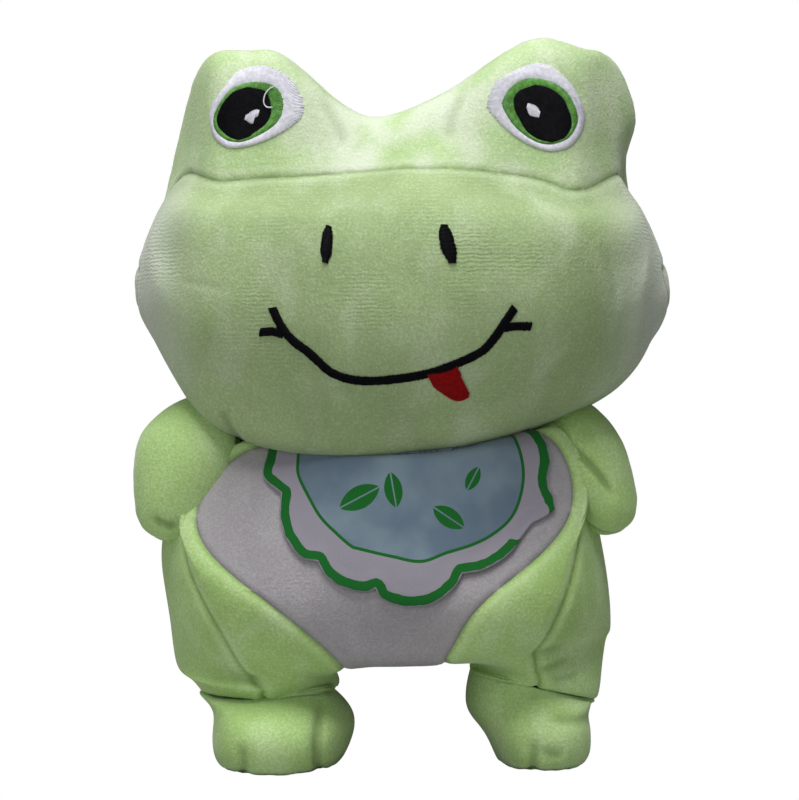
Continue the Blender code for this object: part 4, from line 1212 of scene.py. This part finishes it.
PUPILS = {
    "left": ((-60.9, 215.9), (-60.2, 218.3), (-58.8, 221.2), (-56.5, 223.6), (-53.5, 225.4), (-50.2, 226.3),
             (-47.0, 226.0), (-44.3, 225.1), (-42.6, 222.2), (-42.3, 218.9), (-42.5, 216.5), (-44.0, 213.9),
             (-47.0, 211.8), (-50.2, 209.7), (-53.5, 208.5), (-56.3, 209.2), (-58.8, 211.2), (-60.4, 213.3)),
    "right": ((37.5, 222.0), (38.7, 224.1), (41.5, 225.8), (45.3, 226.9), (49.1, 226.5), (52.2, 224.8),
              (54.7, 222.4), (56.1, 219.2), (57.1, 216.1), (57.0, 212.6), (55.2, 209.9), (51.9, 208.2),
              (48.1, 207.9), (44.6, 209.1), (41.5, 211.6), (39.4, 215.4), (38.0, 218.2)),
}
GLINTS = {
    "left": ((-51.2, 215.6), (-50.2, 216.9), (-48.4, 218.2), (-46.9, 218.7), (-46.3, 217.9), (-47.0, 216.8),
             (-48.1, 216.0), (-48.6, 214.9), (-49.1, 213.9), (-49.9, 214.7)),
    "right": ((42.1, 219.9), (43.1, 220.6), (44.4, 220.2), (45.6, 219.0), (46.3, 217.6), (46.0, 216.2),
              (44.9, 216.3), (43.6, 216.6), (42.9, 217.6), (42.6, 218.7)),
}
WHITE_LIFT = (0.1 * MM, 0.55 * MM)
IRIS_LIFT = (0.2 * MM, 0.62 * MM)
IRIS_START_SHARE = 0.96
PUPIL_LIFT = (0.3 * MM, 0.8 * MM)
PUPIL_LEAN = 20.0
GLINT_LIFT = (0.75 * MM, 1.0 * MM)
GLINT_LEAN = 75.0

# A loop of white thread that has come loose beside the left pupil, in millimetres across and up
LOOSE_LOOP = ((-41.6, 226.0), (-42.7, 225.7), (-44.3, 223.6), (-44.7, 220.9), (-43.6, 219.4), (-41.9, 219.3))
LOOSE_LOOP_LIFT = 1.25 * MM
LOOSE_LOOP_POINTS = 24

for side in ("left", "right"):
    white, iris, pupil, glint = (
        np.array(outlines[side]) * MM for outlines in (EYE_WHITES, IRISES, PUPILS, GLINTS)
    )
    stitches = ring_stitches(*facing_places(iris, white), *WHITE_LIFT)
    if side == "left":
        loop = smooth_curve(np.array(LOOSE_LOOP) * MM, LOOSE_LOOP_POINTS)
        stitches.append([on_face(x, z, LOOSE_LOOP_LIFT) for x, z in loop])
    stitched("eye_satin_white_" + side, stitches, "thread_white")
    inside, outside = facing_places(pupil, iris)
    middle = inside.mean(axis=0)
    inside = middle + (inside - middle) * IRIS_START_SHARE
    stitched("eye_satin_iris_" + side, ring_stitches(inside, outside, *IRIS_LIFT), "thread_green")
    stitched("eye_satin_pupil_" + side, fill_rows(pupil, PUPIL_LEAN, *PUPIL_LIFT), "thread_black")
    stitched("eye_satin_glint_" + side, fill_rows(glint, GLINT_LEAN, *GLINT_LIFT), "thread_white")

# The mouth, its corners, the tongue and the nostrils, in millimetres across and up
MOUTH = ((-40.9, 152.3), (-39.3, 148.7), (-37.0, 144.9), (-33.8, 141.4), (-29.6, 138.3), (-26.0, 135.0),
         (-22.1, 131.7), (-16.2, 129.5), (-8.8, 128.9), (1.0, 129.8), (9.1, 131.3), (17.5, 134.1),
         (26.3, 138.3), (30.9, 143.2), (33.5, 147.1), (37.0, 152.3))
PRONGS = {
    "left": ((-44.9, 144.6), (-41.0, 144.8), (-37.3, 143.9)),
    "right": ((33.2, 145.9), (37.6, 146.5), (42.3, 146.5)),
}
MOUTH_WIDTH = 2.6 * MM
STROKE_LIFT = (0.1 * MM, 0.52 * MM)
STROKE_SLANT = 0.25
ROUND_END_SHARE = 0.25
ROUND_END_POWER = 2.5
NOSTRILS = {"left": ((-22.8, 178.6), (-23.4, 173.0), (-23.9, 167.0)),
            "right": ((14.4, 178.9), (15.4, 173.0), (17.0, 166.8))}
NOSTRIL_WIDTHS = {"left": 3.6 * MM, "right": 4.7 * MM}
TONGUE = ((9.0, 131.6), (10.9, 127.8), (14.3, 125.0), (17.9, 122.9), (20.5, 122.8), (22.3, 124.1),
          (20.8, 127.2), (19.6, 130.2), (18.4, 133.8), (16.2, 133.0), (13.0, 132.2))
TONGUE_LIFT = (0.2 * MM, 0.8 * MM)
TONGUE_LEAN = 118.0

stitched("mouth_satin_line", stroke_stitches(MOUTH, MOUTH_WIDTH, *STROKE_LIFT), "thread_black")
for side in ("left", "right"):
    stitched("mouth_satin_corner_" + side, stroke_stitches(PRONGS[side], MOUTH_WIDTH, *STROKE_LIFT),
             "thread_black")
    stitched("nostril_satin_" + side,
             stroke_stitches(NOSTRILS[side], NOSTRIL_WIDTHS[side], *STROKE_LIFT, rounded_ends=True),
             "thread_black")
stitched("tongue_satin", fill_rows(np.array(TONGUE) * MM, TONGUE_LEAN, *TONGUE_LIFT), "thread_red")

# Bib: the outer edge in lobes that meet in cusps, and the line round its field, in millimetres
BIB_LOBES = (
    ((-43.0, 108.0), (-43.4, 103.9), (-44.7, 99.6), (-44.1, 96.3), (-41.4, 93.9), (-38.4, 91.6)),
    ((-38.4, 91.6), (-38.8, 85.0), (-37.1, 78.4), (-34.1, 73.7), (-30.8, 70.9), (-26.2, 70.1)),
    ((-26.2, 70.1), (-24.2, 66.4), (-20.2, 63.1), (-15.6, 61.3), (-10.9, 60.8), (-7.6, 61.8)),
    ((-7.6, 61.8), (-6.3, 59.2), (-3.0, 57.5), (1.6, 56.4), (7.6, 56.4), (12.9, 58.2), (17.5, 61.8),
     (20.2, 66.1)),
    ((20.2, 66.1), (26.2, 66.9), (32.1, 69.7), (36.8, 73.5), (40.1, 78.0), (43.2, 82.0)),
    ((43.2, 82.0), (47.5, 84.0), (50.6, 86.6), (50.4, 90.0), (48.9, 93.6), (48.2, 96.9)),
    ((48.2, 96.9), (49.2, 102.2), (48.3, 107.5), (46.0, 111.5), (42.0, 116.0)),
)
BIB_FIELD = ((-33.0, 109.0), (-33.1, 102.6), (-32.8, 97.6), (-29.5, 90.9), (-25.5, 84.3), (-20.2, 79.0),
             (-15.6, 75.1), (-12.9, 74.2), (-2.3, 71.8), (6.9, 70.1), (14.9, 72.7), (22.9, 75.1),
             (29.5, 78.2), (35.5, 83.0), (38.8, 89.0), (40.4, 96.9), (39.7, 104.2), (37.4, 110.9),
             (35.1, 116.0))
BIB_HUB = np.array((3.0, 110.0)) * MM
BIB_STEPS = 26
BIB_RINGS = 70
BIB_FIELD_STEPS = 200
BIB_CLOTH = 0.7 * MM
# How the bib lies: off the belly, in low waves, with its rim a little up
BIB_LIFT = 0.9 * MM
BIB_WAVES = (0.05, 0.03)
BIB_WAVE_SEED = 3.0
BIB_WAVE_LIFT = 1.1 * MM
BIB_RIM_LIFT = 0.6 * MM
BIB_RIM_REACH = 6 * MM
# The folded corner, where the border's green edge is out of sight
BIB_FOLD_AT = ((40.1, 78.0), (43.2, 82.0), (47.5, 84.0))
BIB_FOLD_EDGE = 3.4 * MM
BIB_FOLD_START = 1.5 * MM
BIB_FOLD_REACH = 3.0 * MM
# How the bib runs up over the chest's top edge to the neck
BIB_NECK_Z = 106.0 * MM
BIB_NECK_RISE = 12.0 * MM
BIB_NECK_REACH = 42.0 * MM
BIB_TURN_NORMAL = -0.62
BIB_TURN_STEP = 0.5 * MM
BIB_TURN_LOW_Z = 85.0 * MM
SKY_Z = 0.25
# Plain pointed leaves on the bib: place, turn in degrees and length, in millimetres
BIB_LEAVES = (
    (-13.0, 91.0, 28.0, 15.0), (-2.0, 93.5, 100.0, 12.0), (16.0, 84.5, -34.0, 12.5), (24.0, 97.0, 62.0, 9.0),
)
LEAF_WIDTH_SHARE = 0.5
LEAF_RIM = 0.12 * MM
LEAF_VEIN = (0.18 * MM, 0.3 * MM)
# The bib's print, and where its parts start and end
BIB_BAND = (0.3, 0.28, 0.33, 1.0)
BIB_BLUE = (0.125, 0.18, 0.24, 1.0)
BIB_PALE_BLUE = (0.19, 0.26, 0.31, 1.0)
BIB_GREEN = (0.004, 0.125, 0.014, 1.0)
BIB_DRIFT = (45.0, 3.0)
BIB_DRIFT_SPAN = (0.35, 0.65)
BIB_WOBBLE = (240.0, 2.0)
BIB_WOBBLE_REACH = 0.9 * MM
BIB_FIELD_SPAN = (-0.05 * MM, 0.05 * MM)
BIB_LINE = (0.42 * MM, 0.6 * MM, 1.0, 0.0)
BIB_BORDER_IN = (3.1 * MM, 3.3 * MM, 1.0, 0.0)
BIB_BORDER_OUT = (0.25 * MM, 0.45 * MM)
BIB_WEAVE = {"Scale": 520.0, "Distortion": 1.5, "Detail": 1.0}
BIB_WEAVE_TURN = 45
BIB_WEAVE_SHARE = 0.5
BIB_FUZZ = (2200.0, 2.0)
BIB_RELIEF = (0.35, 0.15 * MM)


def leaf_share(make, x, z, turn, size):
    """One where a leaf lies: the overlap of two discs, with a fine vein down its middle."""
    shifted = make.add("ShaderNodeVectorMath", {0: make.place, 1: (x * MM, 0.0, z * MM)},
                       operation="SUBTRACT")
    turned = make.add("ShaderNodeVectorRotate", {"Vector": shifted.outputs[0], "Angle": radians(turn)},
                      rotation_type="Y_AXIS")
    parts = make.parts(turned.outputs[0])
    half = size * MM / 2
    wide = half * LEAF_WIDTH_SHARE
    radius = (half * half + wide * wide) / (2 * wide)
    aside = make.maths("ABSOLUTE", parts["Z"])
    from_middle = make.plus(aside, radius - wide)
    away = make.plus(make.times(parts["X"], parts["X"]), make.times(from_middle, from_middle))
    inside = make.ramp(make.maths("SQRT", away), radius - LEAF_RIM, radius, 1.0, 0.0)
    return make.times(inside, make.ramp(aside, *LEAF_VEIN))


def bib_cloth():
    """Printed cloth: a green edge, a pale band, a fine line and a pale blue field with plain leaves."""
    make = Nodes("bib_cloth")
    field = make.attribute("field")
    wobble = make.maths("SUBTRACT", make.scatter(*BIB_WOBBLE), 0.5)
    edge = make.plus(make.attribute("edge"), make.times(wobble, BIB_WOBBLE_REACH))
    border = make.times(make.ramp(edge, *BIB_BORDER_IN), make.ramp(edge, *BIB_BORDER_OUT))
    ground = make.mix(make.ramp(make.scatter(*BIB_DRIFT), *BIB_DRIFT_SPAN), BIB_BLUE, BIB_PALE_BLUE)
    tone = make.mix(make.ramp(field, *BIB_FIELD_SPAN), BIB_BAND, ground)
    green_shares = [make.ramp(make.maths("ABSOLUTE", field), *BIB_LINE)]
    green_shares.extend(leaf_share(make, *leaf) for leaf in BIB_LEAVES)
    for share in (*green_shares, border):
        tone = make.mix(share, tone, BIB_GREEN)
    weave = make.add("ShaderNodeTexWave", {"Vector": make.turned(BIB_WEAVE_TURN), **BIB_WEAVE})
    height = make.plus(make.times(weave.outputs["Fac"], BIB_WEAVE_SHARE), make.scatter(*BIB_FUZZ))
    return make.finished(tone, height, BIB_RELIEF, Roughness=0.85, Specular_IOR_Level=0.2, Sheen_Weight=0.15)


body_tree = body.tree()
chest_tops = {}


def chest_top(x):
    """Where the chest turns back under the chin at a place across: its height and depth."""
    height = BIB_TURN_LOW_Z
    turned = (height, 0.0)
    while True:
        hit, normal = seen_place(body_tree, x, height)
        if hit is None or normal.y > BIB_TURN_NORMAL:
            return turned
        turned = (height, hit.y)
        height += BIB_TURN_STEP


def on_chest(x, z, lift):
    """A place on the chest, followed over its top edge towards the neck."""
    column = round(x / BIB_TURN_STEP)
    if column not in chest_tops:
        chest_tops[column] = chest_top(column * BIB_TURN_STEP)
    top_z, top_y = chest_tops[column]
    if z <= top_z:
        hit = seen_place(body_tree, x, z)[0]
    else:
        hit = body_tree.ray_cast(Vector((x, top_y + z - top_z, SKY_Z)), Vector((0, 0, -1)))[0]
    return standing_off(body_tree, hit, lift)


def crosses(a, b, c, d):
    def turn(p, q, r):
        return (q[0] - p[0]) * (r[1] - p[1]) - (q[1] - p[1]) * (r[0] - p[0])
    return turn(a, b, c) * turn(a, b, d) < 0 and turn(c, d, a) * turn(c, d, b) < 0


def build_bib():
    """Corners and faces of the bib, and how far each corner is from the rim and inside the field."""
    lobes = [smooth_curve(lobe, BIB_STEPS)[:-1] for lobe in BIB_LOBES]
    outline = np.vstack(lobes + [[BIB_LOBES[-1][-1]]]) * MM
    rings = [BIB_HUB + (outline - BIB_HUB) * ring / BIB_RINGS for ring in range(1, BIB_RINGS + 1)]
    flat = np.vstack([BIB_HUB, *rings])
    count = len(outline)
    faces = [(0, 1 + step, 2 + step) for step in range(count - 1)]
    for ring in range(BIB_RINGS - 1):
        for here in range(1 + ring * count, ring * count + count):
            faces.append((here, here + count, here + count + 1, here + 1))
    edge, _ = distance_to_line(flat, outline)
    fold, _ = distance_to_line(flat, np.array(BIB_FOLD_AT) * MM)
    edge += BIB_FOLD_EDGE * np.clip(1 - (fold - BIB_FOLD_START) / BIB_FOLD_REACH, 0, 1)
    line = smooth_curve(BIB_FIELD, BIB_FIELD_STEPS) * MM
    field, _ = distance_to_line(flat, line)
    for index, point in enumerate(flat):
        if sum(crosses(point, BIB_HUB, start, end) for start, end in zip(line, line[1:])) % 2:
            field[index] *= -1
    corners = []
    for (x, z), out in zip(flat, edge):
        top = BIB_NECK_Z + BIB_NECK_RISE * min(1.0, abs(x - BIB_HUB[0]) / BIB_NECK_REACH) ** 2
        wave = noise.noise(Vector((x / MM * BIB_WAVES[0], z / MM * BIB_WAVES[1], BIB_WAVE_SEED)))
        lift = BIB_LIFT + max(0.0, wave) * BIB_WAVE_LIFT + BIB_RIM_LIFT * max(0.0, 1 - out / BIB_RIM_REACH)
        corners.append(on_chest(x, min(z, top), lift))
    return np.array(corners), faces, edge, field


corners, faces, edge, field = build_bib()
bib_obj = place_mesh("bib_cloth_piece", corners, faces, bib_cloth(), {"edge": edge, "field": field})
wall = bib_obj.modifiers.new("thickness", "SOLIDIFY")
wall.thickness = BIB_CLOTH
wall.offset = -1.0
solid = finished_mesh(bib_obj)
bib_obj.modifiers.clear()
bib_obj.data = solid
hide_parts("bib")
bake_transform(bib_obj)

# Studio: white floor and surroundings as the camera sees them, soft light from above and in front

FLOOR_SIZE = 6.0
FLOOR_Z = -0.2 * MM
FLOOR_GREY = (0.42, 0.42, 0.42, 1.0)
FLOOR_ROUGHNESS = 0.9
SKY_COLOUR = (0.95, 0.98, 1.0, 1.0)
SKY_STRENGTH = 0.2
WHITE = (1.0, 1.0, 1.0, 1.0)
# Each lamp: name, place, what it faces, size in metres and power in watts
LAMPS = (
    ("key", (-0.06, -0.3, 1.05), (0.0, 0.0, 0.14), 0.7, 10.8),
    ("front", (-0.5, -1.1, 0.5), (0.0, 0.0, 0.12), 0.7, 2.2),
)
CAMERA_PLACE = (0, -1.0, 0.1227)
CAMERA_LENS = 132.1
SENSOR_WIDTH = 36.0


def white_to_camera(tree, kind, output, other):
    """White where the camera looks straight at it, and the other shader for all else."""
    path = tree.nodes.new("ShaderNodeLightPath")
    white = tree.nodes.new(kind)
    white.inputs["Color"].default_value = WHITE
    white.inputs["Strength"].default_value = 1.0
    mix = tree.nodes.new("ShaderNodeMixShader")
    tree.links.new(path.outputs["Is Camera Ray"], mix.inputs["Fac"])
    tree.links.new(other.outputs[0], mix.inputs[1])
    tree.links.new(white.outputs[0], mix.inputs[2])
    tree.links.new(mix.outputs[0], tree.nodes[output].inputs["Surface"])


def studio():
    bm = bmesh.new()
    bmesh.ops.create_grid(bm, x_segments=1, y_segments=1, size=FLOOR_SIZE / 2)
    mesh = bpy.data.meshes.new("floor")
    bm.to_mesh(mesh)
    bm.free()
    floor = put_in_scene("floor", mesh)
    floor.location.z = FLOOR_Z
    material = bpy.data.materials.new("floor")
    material.use_nodes = True
    shader = material.node_tree.nodes["Principled BSDF"]
    shader.inputs["Base Color"].default_value = FLOOR_GREY
    shader.inputs["Roughness"].default_value = FLOOR_ROUGHNESS
    white_to_camera(material.node_tree, "ShaderNodeEmission", "Material Output", shader)
    mesh.materials.append(material)
    world = bpy.data.worlds.new("studio")
    bpy.context.scene.world = world
    world.use_nodes = True
    ambient = world.node_tree.nodes["Background"]
    ambient.inputs["Color"].default_value = SKY_COLOUR
    ambient.inputs["Strength"].default_value = SKY_STRENGTH
    white_to_camera(world.node_tree, "ShaderNodeBackground", "World Output", ambient)
    for name, place, aim, size, power in LAMPS:
        light = bpy.data.lights.new(name, "AREA")
        light.shape = "DISK"
        light.size = size
        light.energy = power
        lamp = put_in_scene(name, light)
        lamp.location = place
        lamp.rotation_euler = (Vector(aim) - Vector(place)).to_track_quat("-Z", "Y").to_euler()
    camera = bpy.data.cameras.new("camera")
    camera.lens = CAMERA_LENS
    camera.sensor_width = SENSOR_WIDTH
    seen = put_in_scene("camera", camera)
    seen.location = CAMERA_PLACE
    seen.rotation_euler = (pi / 2, 0, 0)
    bpy.context.scene.camera = seen
    bpy.context.scene.view_settings.view_transform = "Standard"


studio()
